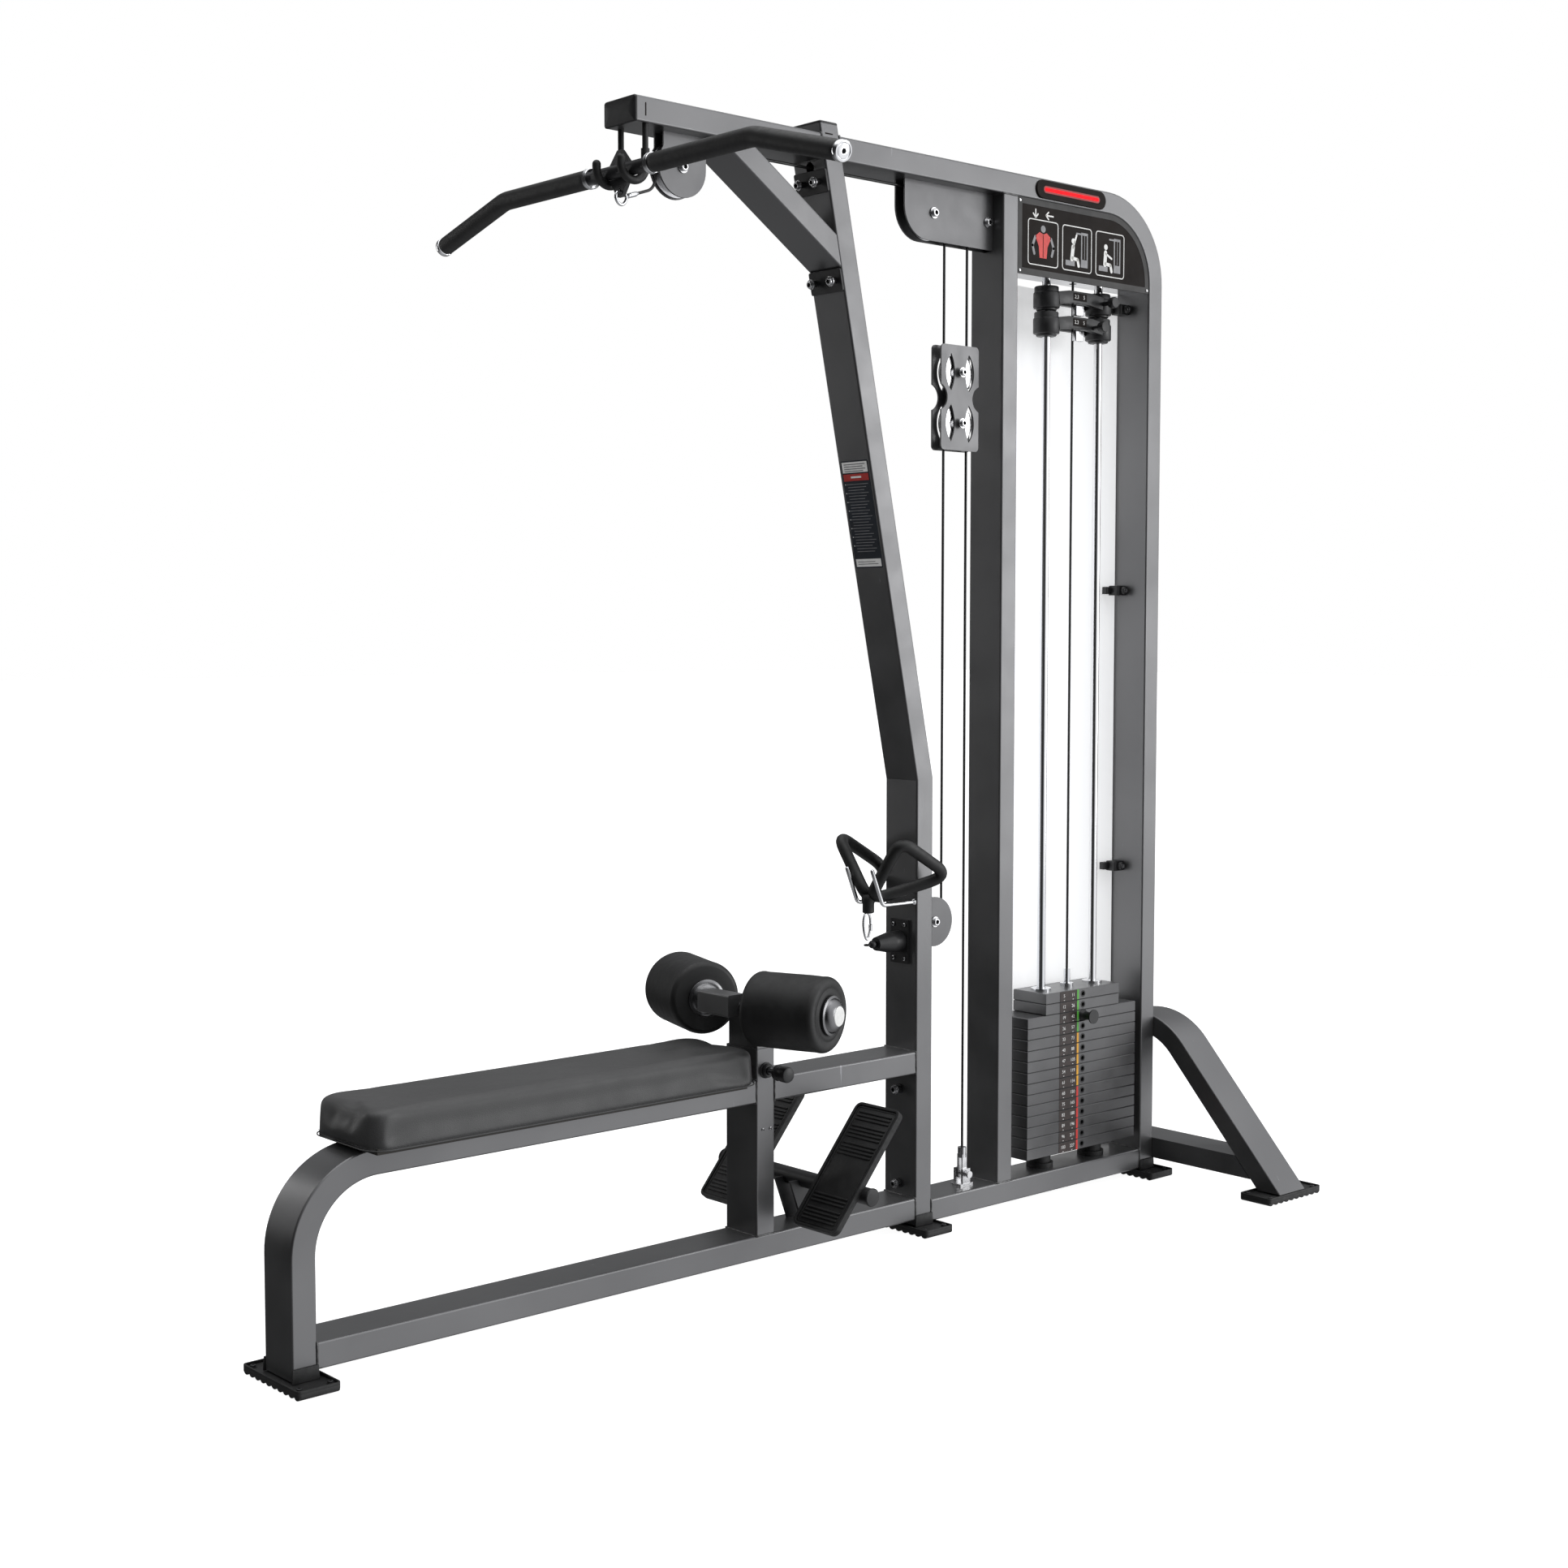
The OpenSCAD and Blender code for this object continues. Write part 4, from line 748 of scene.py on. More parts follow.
def foam_profile():
    """Inner end, rounded edge, slight barrel, rounded edge and the grooved outer end."""
    start = ROLLER_IN + 1.5
    end = ROLLER_IN + ROLLER_LEN - 1.5
    line = [(HUB_R, ROLLER_IN), (30, ROLLER_IN), (44, ROLLER_IN + 0.6), (50, ROLLER_IN + 1.6)]
    line += arc((ROLLER_R - FOAM_EDGE, start + FOAM_EDGE), FOAM_EDGE, -80, 0, 8)
    for i in range(1, BARREL_STEPS):
        t = i / BARREL_STEPS
        z = start + FOAM_EDGE + t * (end - start - 2 * FOAM_EDGE)
        line.append((ROLLER_R - BARREL * (2 * t - 1) ** 4, z))
    line += arc((ROLLER_R - FOAM_EDGE, end - FOAM_EDGE), FOAM_EDGE, 0, 80, 8)
    return line + [(58, end + 0.1), (55.5, end - 1.8), (53.5, end - 1.8), (51, end + 0.6), (46, end + 1),
                   (42, end + 0.2), (HUB_R, end - 1), (HUB_R, ROLLER_IN)]


# the axles meet in the middle plane, so the left roller's box gives where
APEX = centre_of("roller_pad_left") - roller_axis(1) * (ROLLER_IN + ROLLER_LEN / 2)
for side, word in ((1, "left"), (-1, "right")):
    axis = roller_axis(side)
    place = axis_basis(APEX, axis)
    inner = axis_basis(APEX + axis * ROLLER_IN, axis)
    outer = axis_basis(APEX + axis * (ROLLER_IN + ROLLER_LEN + 0.6), axis)
    bm = bmesh.new()
    add_lathe(bm, foam_profile(), place, steps=72)
    # the foam's skin is a little uneven
    for vert in bm.verts:
        here = vert.co / MM
        wave = math.sin(here.x * 0.041 + side) * math.sin(here.y * 0.037) * math.sin(here.z * 0.05)
        centre = place @ Vector((0, 0, (place.inverted() @ vert.co).z))
        out = vert.co - centre
        if out.length > 50 * MM:
            vert.co += out.normalized() * wave * 0.5 * MM
    foam = piece(f"roller_foam_{word}", bm, [FOAM], f"roller_{word}",
                 [f"roller_pad_{word}"], crease=60)

    # domed cap with a white button, the hub's inner cone, and the axle's sleeve
    bm = bmesh.new()
    add_lathe(bm, [(40.5, -0.2), (41, 1.5), (40.6, 4.2), (38, 5.2), (36, 6), (34.5, 9.5), (30, 14.5),
                   (24, 18), (21.5, 19.2), (CAP_R, 19.4)], outer, 0, 56)
    add_lathe(bm, [(CAP_R, 19.4), (20, 20.4), (0, 21.4)], outer, 1, 56)
    add_lathe(bm, [(SLEEVE_R, -19), (20, -18), (27, -14.5), (32, -9), (34, -5.5), (38.5, -4.6),
                   (40.5, -3), (40.5, -0.4), (SLEEVE_R, -0.4)], inner, 0, 48)
    add_lathe(bm, [(SLEEVE_R, AXLE_IN - ROLLER_IN), (SLEEVE_R, -19)], inner, 0, 40)
    piece(f"roller_cap_{word}", bm, [HUB, WHITE_PAINTED_GLOW], "thigh_carriage", crease=30)

# ---------------------------------------------------------------- foot rests
REST_LOW = Vector((1148, 0, 108))
REST_LEAN = math.radians(50)
REST_LEN = 300
REST_WID = 133
REST_IN = 87
REST_EDGE = 16
RIB_PITCH = 8.6
RIB_GROUPS = ((20, 4), (62, 3), (178, 4), (220, 4), (262, 3))     # where the first rib is, how many
up_rest = Vector((math.cos(REST_LEAN), 0, math.sin(REST_LEAN)))
off_rest = Vector((-math.sin(REST_LEAN), 0, math.cos(REST_LEAN)))
for side, word in ((1, "left"), (-1, "right")):
    bm = bmesh.new()
    place = basis((REST_LOW.x, side * (REST_IN + REST_WID / 2), REST_LOW.z), up_rest, off_rest)
    outline = round_box(REST_LEN, REST_WID, REST_EDGE, 8, (REST_LEN / 2, 0))
    add_prism(bm, outline, 10.6, place, start=-14)
    ring_prism(bm, outline, shrink(outline, 6), 3.4, place, start=-3.5)
    ring_prism(bm, shrink(outline, 9), shrink(outline, 11), 1.2, place, start=-3.5)
    half = REST_WID / 2 - REST_EDGE
    for first, count in RIB_GROUPS:
        for i in range(count):
            rib = round_box(4.6, 2 * half, 2.2, 4, (first + i * RIB_PITCH, 0))
            add_prism(bm, rib, 3.0, place, start=-3.6, inset=0.8)
    for s in (-1, 1):
        strip = round_box(REST_LEN - 60, 3, 1.4, 4, (REST_LEN / 2, s * (half + 5)))
        add_prism(bm, strip, 1.6, place, start=-3.6, inset=0.5)
    # moulded ribs on the back
    for s in (-1, 0, 1):
        add_prism(bm, rect(30, s * 40 - 2, REST_LEN - 30, s * 40 + 2), 5, place, start=-18.8)
    piece(f"foot_rest_{word}", bm, [RUBBER], "frame", [f"foot_plate_{word}"], edge=0.5)

# ---------------------------------------------------------------- rubber feet
TUBE_W = 100
TUBE_D = 50
HALF_W = TUBE_W / 2
HALF_D = TUBE_D / 2
FOOT_LEN = 205
FOOT_WID = 88
TOOTH_PITCH = FOOT_LEN / 10
TOOTH_HIGH = 7
POST_X = MID_POST + HALF_D
REAR_X = high("tower_frame").x - HALF_D
ARCH_X = centre_of("rear_arch").x
ARCH_FOOT_Y = 398
# x, y, turn in degrees, and whether a boot's walls stand against the tube
FOOT_SPOTS = ((HALF_D, 0, 0, True), (POST_X, 0, 0, True), (REAR_X, 0, 0, True),
              (ARCH_X, ARCH_FOOT_Y, 90, False), (ARCH_X, -ARCH_FOOT_Y, 90, False))
SCREW_TOP = 14
bm = bmesh.new()
screws = bmesh.new()
for x, y, degrees, has_boot in FOOT_SPOTS:
    spin = Vector((math.cos(math.radians(degrees)), math.sin(math.radians(degrees)), 0))
    place = basis((x, y, 0), spin, UP)
    outline = round_box(FOOT_WID, FOOT_LEN, 9, 6)
    add_prism(bm, outline, 8, place, start=6)
    ring_prism(bm, outline, shrink(outline, 4), 6, place, start=13)
    lie = basis((x, y, 0), -spin.cross(UP), spin)
    for i in range(10):
        middle = (i + 0.5) * TOOTH_PITCH - FOOT_LEN / 2
        tooth = [(middle - math.cos(math.radians(a)) * TOOTH_PITCH * 0.44,
                  TOOTH_HIGH * (1 - math.sin(math.radians(a)))) for a in range(0, 181, 20)]
        add_prism(bm, tooth, FOOT_WID - 6, lie, start=-FOOT_WID / 2 + 3)
    if has_boot:
        wall = [(-HALF_D - 3, 0), (HALF_D + 3, 0), (HALF_D + 1, 26), (-HALF_D - 1, 26)]
        for wall_y in (-HALF_W - 0.2, HALF_W + 3.6):
            add_prism(bm, wall, 3.4, basis((x, y + wall_y, 15), ALONG, -ACROSS))
    # sole plate screws
    for sx in (-1, 1):
        for sy in (-1, 1):
            spot = in_mm(place @ Vector((sx * 31, sy * 84, SCREW_TOP)))
            around = basis((spot.x, spot.y, SCREW_TOP), ALONG, UP)
            add_lathe(screws, [(7, 0), (7, 1.2), (5.5, 1.4), (5.5, 4), (4.6, 4.8), (2.6, 5),
                               (2.6, 3), (0, 3)], around, 0, 20)
piece("rubber_feet", bm, [RUBBER], "frame", ["ground_feet"], edge=0.8)
piece("foot_screws", screws, [BLACK], "frame")

# ---------------------------------------------------------------- bolts, caps and clips
def add_bolt(bm, origin, direction, reach, head_r=9, shank_r=7, head_h=8, washer=True):
    """Button head with a socket, standing reach in front of its face on a dark shank."""
    place = axis_basis(origin, direction)
    top = reach + head_h
    if reach > 0:
        add_lathe(bm, [(shank_r, 0), (shank_r, reach)], place, 1, 28)
        add_lathe(bm, [(shank_r + 4, 0), (shank_r + 4, 2.2), (shank_r, 2.6)], place, 1, 28)
    if washer:
        add_lathe(bm, [(shank_r * 0.6, reach), (head_r + 3, reach), (head_r + 3, reach + 1.6),
                       (head_r * 0.8, reach + 1.6)], place, 0, 32)
    add_lathe(bm, [(head_r * 0.8, reach + 1.4), (head_r, reach + 1.4), (head_r, top - 1.5),
                   (head_r - 1.5, top), (head_r * 0.55, top)], place, 0, 32)
    add_lathe(bm, [(head_r * 0.55, top), (head_r * 0.5, top - 0.4), (head_r * 0.5, top - 4),
                   (0, top - 4)], place, 1, 6)


LEAN = math.radians(12)
KINK_Z = 1020
LEAN_D = TUBE_D / math.cos(LEAN)
LEAN_OUT = Vector((-math.cos(LEAN), 0, -math.sin(LEAN)))
POST_BOLT_ZS = (107, 322)
ARM_BOLT_Z = 2288
BRACE_BOLT_Z = 2087
GUARD_OUT = 16
POST_SCREW_Z = 305


def lean_x(z):
    """Front face of the leaning post at height z."""
    return POST_X - LEAN_D / 2 - (z - KINK_Z) * math.tan(LEAN)


bm = bmesh.new()
for z in POST_BOLT_ZS:
    add_bolt(bm, (MID_POST, 0, z), -ALONG, 16, 8, 6.5, 8)
for z, y in ((ARM_BOLT_Z, 24), (BRACE_BOLT_Z, 30)):
    for s in (-1, 1):
        add_bolt(bm, (lean_x(z), s * y, z), LEAN_OUT, 18, 8, 6.5, 8)
for wheel in FIXED_WHEELS:
    for s in (-1, 1):
        add_bolt(bm, (wheel.x, s * GUARD_OUT, wheel.z), ACROSS * s, 1, 9, 6, 8)
    axle = [(wheel.x, -GUARD_OUT, wheel.z), (wheel.x, GUARD_OUT, wheel.z)]
    add_tube(bm, axle, 5.9, 0, 24)
# two small screws in the seat post
for inset in (33, 12):
    spot = (high("seat_post").x - inset, -HALF_W, POST_SCREW_Z)
    add_bolt(bm, spot, -ACROSS, 0, 3.2, 2, 3, washer=False)
piece("frame_bolts", bm, [ZINC, BLACK], "frame", ["frame_fasteners"], crease=30)

# pull pin: threaded collar on the post, sprung neck and knurled knob
PIN = centre_of("pop_pin")
bm = bmesh.new()
place = axis_basis((PIN.x, 0, PIN.z), -ACROSS)
add_lathe(bm, [(9, 50), (17, 50), (17, 52), (14.5, 53.5), (14.5, 60), (12.5, 62), (9, 62), (9, 50)],
          place, 0, 44)
piece("pull_pin_collar", bm, [BLACK], "frame")
bm = bmesh.new()
add_lathe(bm, [(0, 42), (5.4, 42), (6, 43), (6, 63), (8, 63), (8, 84), (8, 86)], place, 1, 40)
add_lathe(bm, [(8, 84), (13, 84), (16, 86.5), (16.6, 90), (16.6, 93), (14.2, 97), (14.2, 100),
               (16.4, 104), (16.8, 108), (16.8, 119), (15.2, 122.5), (12, 124), (0, 124.4)],
          place, 0, 48)
piece("pull_pin", bm, [PLASTIC, CHROME], "lock_pin", ["pop_pin"], crease=32)

# shroud clips on the rear upright
CLIP_X = REAR_X - HALF_D
CLIP_ZS = (770, 1448, 2128)
bm = bmesh.new()
for z in CLIP_ZS:
    box_place = basis((CLIP_X - 16, 26, z), ALONG, UP)
    screw_place = axis_basis((CLIP_X - 14, 18, z), -ACROSS)
    add_prism(bm, round_box(34, 30, 4, 4), 24, box_place, start=-12, inset=1.5)
    add_prism(bm, round_box(22, 16, 3, 4, (-22, 14)), 18, box_place, start=-9, inset=1.5)
    add_lathe(bm, [(9.5, 9), (9.5, 16), (8.6, 17), (6, 17), (5.2, 15.4), (0, 15.4)], screw_place, 0, 28)
    add_lathe(bm, [(6.4, 17), (6.4, 18.2), (4.4, 18.2), (4.2, 16.5), (0, 16.5)], screw_place, 1, 24)
piece("shroud_clips", bm, [PLASTIC, ZINC], "frame", edge=0.4)

# tube plugs
ARM_END = low("front_arm").x
BEAM_TOP = high("front_arm").z
POST_TOP = high("mid_post").z
CROSS_X = 1240
CROSS_Z = 173
CROSS_END = 235
# how far in each step of a plug lies, and its height: upright rim, round shoulder, slight crown
PLUG_STEPS = ((0, 0), (0, 3.2), (1.6, 5.0), (6, 6.4), (14, 7.2), (22, 7.5))


def add_plug(bm, length, width, place):
    rings = []
    for inset, z in PLUG_STEPS:
        line = round_box(length + 1 - 2 * inset, width + 1 - 2 * inset, max(1.5, 6 - inset), 6)
        rings.append(ring_at(bm, place, line, z))
    add_faces(bm, rings, 0)


top_mid = lean_x(POST_TOP) + LEAN_D / 2
bm = bmesh.new()
add_plug(bm, TUBE_W, TUBE_D, basis((ARM_END, 0, BEAM_TOP - HALF_D), ACROSS, -ALONG))
add_plug(bm, LEAN_D, TUBE_W, basis((top_mid, 0, POST_TOP), ALONG, UP))
for s in (-1, 1):
    end_place = axis_basis((CROSS_X, s * CROSS_END, CROSS_Z), ACROSS * s)
    add_lathe(bm, [(18, 0), (19.4, 0), (19.4, 3), (17.6, 5.2), (9, 6.2), (0, 6.4)], end_place, 0, 36)
piece("tube_plugs", bm, [PLASTIC], "frame", ["tube_end_caps"], crease=30)

# narrow slots near the ends of the arm and the post's top, drawn as thin dark patches on the face: painted
# shade for the hollow of each slot
bm = bmesh.new()
slot_place = side_view(-HALF_W)
add_prism(bm, round_box(3, 26, 1.4, 4, (ARM_END + 21, BEAM_TOP - HALF_D)), 0.3, slot_place)
add_prism(bm, round_box(22, 3, 1.4, 4, (top_mid, POST_TOP - 20)), 0.3, slot_place)
piece("tube_slots_painted_shade", bm, [SIGN], "frame")

# bolted foot plates of the brace and of the arm's joint on the leaning post
bm = bmesh.new()
for z in (BRACE_BOLT_Z, ARM_BOLT_Z):
    plate_place = basis((lean_x(z), 0, z), ACROSS, LEAN_OUT)
    add_prism(bm, round_box(TUBE_W - 2, 48, 4, 4), 5, plate_place, inset=0.8)
piece("brace_plates", bm, [BLACK], "frame")

# bolt heads on the pulley block's cheeks
BLOCK_OUT = -low("block_plates").y
bm = bmesh.new()
for wheel in (upper_wheel, lower_wheel):
    for s in (-1, 1):
        add_bolt(bm, (wheel.x, s * BLOCK_OUT, wheel.z), ACROSS * s, 0, 8, 5, 7)
piece("block_bolts", bm, [ZINC, BLACK], "block", crease=30)

# ---------------------------------------------------------------- weld beads at the joints
BEAD_R = 2.2
RAIL_TOP = high("base_rail_front").z
REAR_RAIL_TOP = high("base_rail_rear").z
SEAT_TOP = high("front_frame").z
SEAT_POST_X = low("seat_post").x
FRONT_UP_X = low("front_upright").x


def add_bead(bm, corners):
    """Uneven bead of weld round a tube's end, through its four corners."""
    path = spaced(corners + corners[:1], 9)[:-1]
    waves = [0.16 * math.sin(i * 2.1) + 0.08 * math.sin(i * 5.3) for i in range(len(path))]
    wobble = [BEAD_R * (1 + wave) for wave in waves]
    add_tube(bm, path, BEAD_R, sides=8, closed=True, radii=wobble)


bm = bmesh.new()
for x, top in ((TUBE_D, RAIL_TOP), (MID_POST, RAIL_TOP), (MID_POST + TUBE_D, REAR_RAIL_TOP),
               (REAR_X - HALF_D, REAR_RAIL_TOP), (SEAT_POST_X, SEAT_TOP),
               (SEAT_POST_X + TUBE_D, SEAT_TOP), (MID_POST, SEAT_TOP)):
    add_bead(bm, [(x, y, z) for y, z in rect(-HALF_W, top - TUBE_D, HALF_W, top)])
for x, z in ((SEAT_POST_X, RAIL_TOP), (FRONT_UP_X, REAR_RAIL_TOP), (FRONT_UP_X, BEAM_TOP - TUBE_D)):
    add_bead(bm, [(px, y, z) for px, y in rect(x, -HALF_W, x + TUBE_D, HALF_W)])
for shift in (0, LEAN_D):
    add_bead(bm, [(lean_x(z) + shift, y, z) for y, z in rect(-HALF_W, BEAM_TOP - TUBE_D, HALF_W, BEAM_TOP)])
piece("weld_beads", bm, [WELD], "frame", crease=80)

# ---------------------------------------------------------------- row outlet and cradle
bm = bmesh.new()
for s in (-1, 1):
    for dz in (-38, 38):
        add_bolt(bm, (MID_POST - 6, s * 17, ROW_Z + dz), -ALONG, 0, 4.6, 3, 3.6, washer=False)
piece("row_outlet_screws", bm, [ZINC, BLACK], "frame")

CRADLE_Y = 40
CRADLE_R = 4.5
CRADLE_LEN = 96
CRADLE_TIP = 84
CRADLE_LEAN = math.radians(22.3)
cradle_z = low("row_cradle").z + CRADLE_R
rise = Vector((-math.sin(CRADLE_LEAN), 0, math.cos(CRADLE_LEAN)))
bm = bmesh.new()
for s in (-1, 1):
    root = (MID_POST, s * CRADLE_Y, cradle_z)
    corner = Vector((MID_POST - CRADLE_LEN, s * CRADLE_Y, cradle_z))
    tip = corner + rise * CRADLE_TIP
    add_tube(bm, fillet([root, corner, tip], 14, 10), CRADLE_R, sides=18)
    add_lathe(bm, [(CRADLE_R, 0), (CRADLE_R * 0.94, 1.6), (CRADLE_R * 0.7, 3.2), (0, 4.4)],
              axis_basis(tip - rise * 0.2, rise), 0, 18)
    add_lathe(bm, [(CRADLE_R, 6), (CRADLE_R + 3, 1.4), (CRADLE_R + 3.4, 0)], axis_basis(root, -ALONG),
              0, 20)
piece("cradle_wires", bm, [CHROME], "frame", ["row_cradle"], crease=40)

# ---------------------------------------------------------------- lat bar
GRIP_R = 19
BAR_R = 14
BEND_AT = 385
BEND_R = 100
BEND_DROP = math.radians(15.4)
BEND_LEN = BEND_R * BEND_DROP
BAR_HALF = 638
TAIL = (BAR_HALF - BEND_AT - BEND_R * math.sin(BEND_DROP)) / math.cos(BEND_DROP)
GRIP_START = 104
GRIP_END = BEND_AT + BEND_LEN + TAIL - 12
GRIP_STEP = 6
COLLAR_AT = 92
RING_R = 13


def bar_point(along, side):
    """Point of the bar's centre line, and its direction, at a length from the middle."""
    if along <= BEND_AT:
        return Vector((BAR_X, side * along, BAR_Z)), Vector((0, side, 0))
    angle = min(along - BEND_AT, BEND_LEN) / BEND_R
    y = BEND_AT + BEND_R * math.sin(angle)
    z = BAR_Z - BEND_R * (1 - math.cos(angle))
    rest = max(0, along - BEND_AT - BEND_LEN)
    way = Vector((0, side * math.cos(angle), -math.sin(angle)))
    return Vector((BAR_X, side * y, z)) + way * rest, way


bm = bmesh.new()
ends = bmesh.new()
stations = [GRIP_START + GRIP_STEP * i for i in range(math.ceil((GRIP_END - GRIP_START) / GRIP_STEP))]
stations.append(GRIP_END)
from_ends = [min(s - GRIP_START, GRIP_END - s) for s in stations]
radii = [GRIP_R - 1.6 * max(0, 1 - gap / 6) ** 2 for gap in from_ends]
for side in (-1, 1):
    add_tube(bm, [bar_point(s, side)[0] for s in stations], GRIP_R, sides=28, radii=radii)
    add_lathe(ends, [(BAR_R, 0), (19, 0), (20.6, 1.4), (20.6, 4.2), (19.6, 5), (20.6, 5.8),
                     (20.6, 10.6), (19.4, 12), (BAR_R, 12)],
              axis_basis((BAR_X, side * COLLAR_AT, BAR_Z), ACROSS * side), 0, 44)
    add_lathe(ends, [(18, 0), (19.2, 0.6), (19.6, 2), (19.6, 9), (18.6, 11.4), (15.5, 12.2), (14, 11.2),
                     (12.5, 12), (5.4, 12), (4.6, 11.4), (4.6, 6), (0, 6)],
              axis_basis(*bar_point(GRIP_END, side)), 0, 44)
piece("bar_grip_sleeves", bm, [GRIP], "lat_bar_set", ["lat_bar_grips"], crease=50)
# snap hook under the lug: pear ring, and the socket on the cable's end
ring = [(BAR_X + RING_R * math.cos(a) * (1 - 0.18 * max(0, -math.sin(a))), 0, RING_Z + RING_R * math.sin(a))
        for a in turn(40)]
add_tube(ends, ring, 3.2, sides=14, closed=True)
add_lathe(ends, [(3, -3), (4.4, 0), (5, 1), (5, 4), (4.2, 4.8), (4.2, 6), (5, 6.8),
                 (5, SOCKET_LEN - 6), (4.4, SOCKET_LEN - 4), (3.2, SOCKET_LEN)],
          axis_basis(SLACK_LOW, slack_dir), 0, 24, closed_ends=True)
piece("bar_fittings", ends, [CHROME], "lat_bar_set", ["lat_bar_fittings"], crease=34)

# ---------------------------------------------------------------- row handle
HANDLE_R = 13.5
HANDLE_Y = 100
JOINT = (MID_POST - 101, 0, 753.5)
TOP_CORNER_Z = 894
FAR_CORNER = (MID_POST + 51, 807.5)
bm = bmesh.new()
for s in (-1, 1):
    top_corner = (JOINT[0], s * HANDLE_Y, TOP_CORNER_Z)
    far_corner = (FAR_CORNER[0], s * HANDLE_Y, FAR_CORNER[1])
    loop = fillet([JOINT, top_corner, far_corner], 26, 10, closed=True)
    add_tube(bm, spaced(loop + loop[:1], 10)[:-1], HANDLE_R, sides=20, closed=True)
add_lathe(bm, [(0, -27), (9, -27), (13, -25), (13, -6), (15, 0), (15, 8), (11, 14), (0, 15)],
          basis(JOINT, ALONG, UP), 0, 32)
piece("row_handle_frame", bm, [GRIP], "row_handle_set", ["row_handle"], crease=50)

# snap link, wider at its top, with a sprung gate
LINK_R = 3
LINK_X = centre_of("row_carabiner").x
LINK_BASE = low("row_carabiner").z + LINK_R
LINK_TALL = high("row_carabiner").z - LINK_R - LINK_BASE
bm = bmesh.new()
link = []
for angle in turn(56):
    share = 0.5 + 0.5 * math.sin(angle)
    link.append((LINK_X + (7.5 + 5.5 * share) * math.cos(angle), 0, LINK_BASE + LINK_TALL * share))
add_tube(bm, link, LINK_R, sides=14, closed=True)
gate = axis_basis((LINK_X + 10.5, 0, LINK_BASE + LINK_TALL * 0.30), UP)
add_lathe(bm, [(3, 0), (4, 0.6), (4, 14), (3, 15)], gate, 0, 20, closed_ends=True)
piece("row_snap_link", bm, [CHROME], "row_handle_set", ["row_carabiner"], crease=40)

# ---------------------------------------------------------------- sign plate, light bar, decal
SIGN_X0 = FRONT_UP_X + TUBE_D
SIGN_X1 = REAR_X - HALF_D
SIGN_LOW = low("sign_plates").z
SIGN_TOP = BEAM_TOP - TUBE_D
SIGN_Y = -44
BEND_IN = 150
PLATE_THICK = 3.0
FACE = PLATE_THICK + 0.5
INK_THICK = 0.35
BOX = 104
BOX_LOW = SIGN_LOW + 24
BOX_XS = [SIGN_X0 + 34 + i * (BOX + 14) for i in range(3)]
board = side_view(SIGN_Y)


def sign_outline(side, foot, bend):
    """Outline of the plate, this far inside its sides and top, its foot and its round corner."""
    line = [(SIGN_X0 + side, SIGN_LOW + foot), (SIGN_X1 - side, SIGN_LOW + foot)]
    line += arc((SIGN_X1 - BEND_IN, SIGN_TOP - BEND_IN), BEND_IN - bend, 0, 90, 24)
    return line + [(SIGN_X0 + side, SIGN_TOP - side)]


def placed(points, x, z=BOX_LOW):
    return [(x + px, z + pz) for px, pz in points]


def stroke(bm, points, width, mat, start=FACE):
    """Thick line of a pictogram, with round ends."""
    for (x0, y0), (x1, y1) in zip(points, points[1:]):
        angle = math.degrees(math.atan2(y1 - y0, x1 - x0))
        line = arc((x1, y1), width / 2, angle - 90, angle + 90, 6)
        line += arc((x0, y0), width / 2, angle + 90, angle + 270, 6)
        add_prism(bm, line, INK_THICK, board, mat, start=start)


def disc(bm, centre, radius, mat):
    add_prism(bm, arc(centre, radius, 0, 345, 23), INK_THICK, board, mat, start=FACE)


bm = bmesh.new()
sign = sign_outline(0.3, 0, 0.5)
face = sign_outline(14, 14, 14)
add_prism(bm, sign, PLATE_THICK, board, 0)
ring_prism(bm, sign, face, 1.0, board, 0, start=PLATE_THICK)
add_prism(bm, face, 0.5, board, 1, start=PLATE_THICK)
for x in BOX_XS:
    outline = round_box(BOX, BOX, 9, 6, (x + BOX / 2, BOX_LOW + BOX / 2))
    ring_prism(bm, outline, shrink(outline, 2.2), 0.4, board, 2, start=FACE)
# a back with the worked muscles in red
mid = BOX_XS[0] + BOX / 2
disc(bm, (mid, BOX_LOW + 84), 8, 4)
back = [(-12, 18), (12, 18), (15, 44), (27, 66), (12, 76), (0, 72), (-12, 76), (-27, 66), (-15, 44)]
add_prism(bm, placed(back, mid), INK_THICK, board, 3, start=FACE)
for s in (-1, 1):
    stroke(bm, placed([(s * 27, 64), (s * 36, 44), (s * 30, 26)], mid), 7, 4)
stroke(bm, placed([(0, 20), (0, 70)], mid), 1.6, 1, start=FACE + 0.3)
# a seated figure pulling down, then one rowing, each in front of a tower
for x, arms, trunk in ((BOX_XS[1], [(38, 54), (50, 84)], [(34, 28), (38, 56)]),
                       (BOX_XS[2], [(36, 54), (58, 44)], [(34, 28), (36, 56)])):
    add_prism(bm, placed(rect(66, 12, 90, 92), x), 0.3, board, 4, start=FACE)
    add_prism(bm, placed(rect(70, 30, 86, 86), x), 0.1, board, 1, start=FACE + 0.3)
    stroke(bm, placed([(78, 32), (78, 86)], x), 1.6, 4, start=FACE + 0.35)
    stroke(bm, placed([(50, 88), (68, 88)], x), 4, 4)
    add_prism(bm, placed(rect(12, 12, 44, 24), x), 0.3, board, 4, start=FACE)
    stroke(bm, placed(trunk, x), 11, 2)
    stroke(bm, placed([(36, 30), (54, 28), (58, 14)], x), 8, 2)
    stroke(bm, placed(arms, x), 5, 2)
    disc(bm, placed([(trunk[1][0] + 1, trunk[1][1] + 13)], x)[0], 6.5, 2)
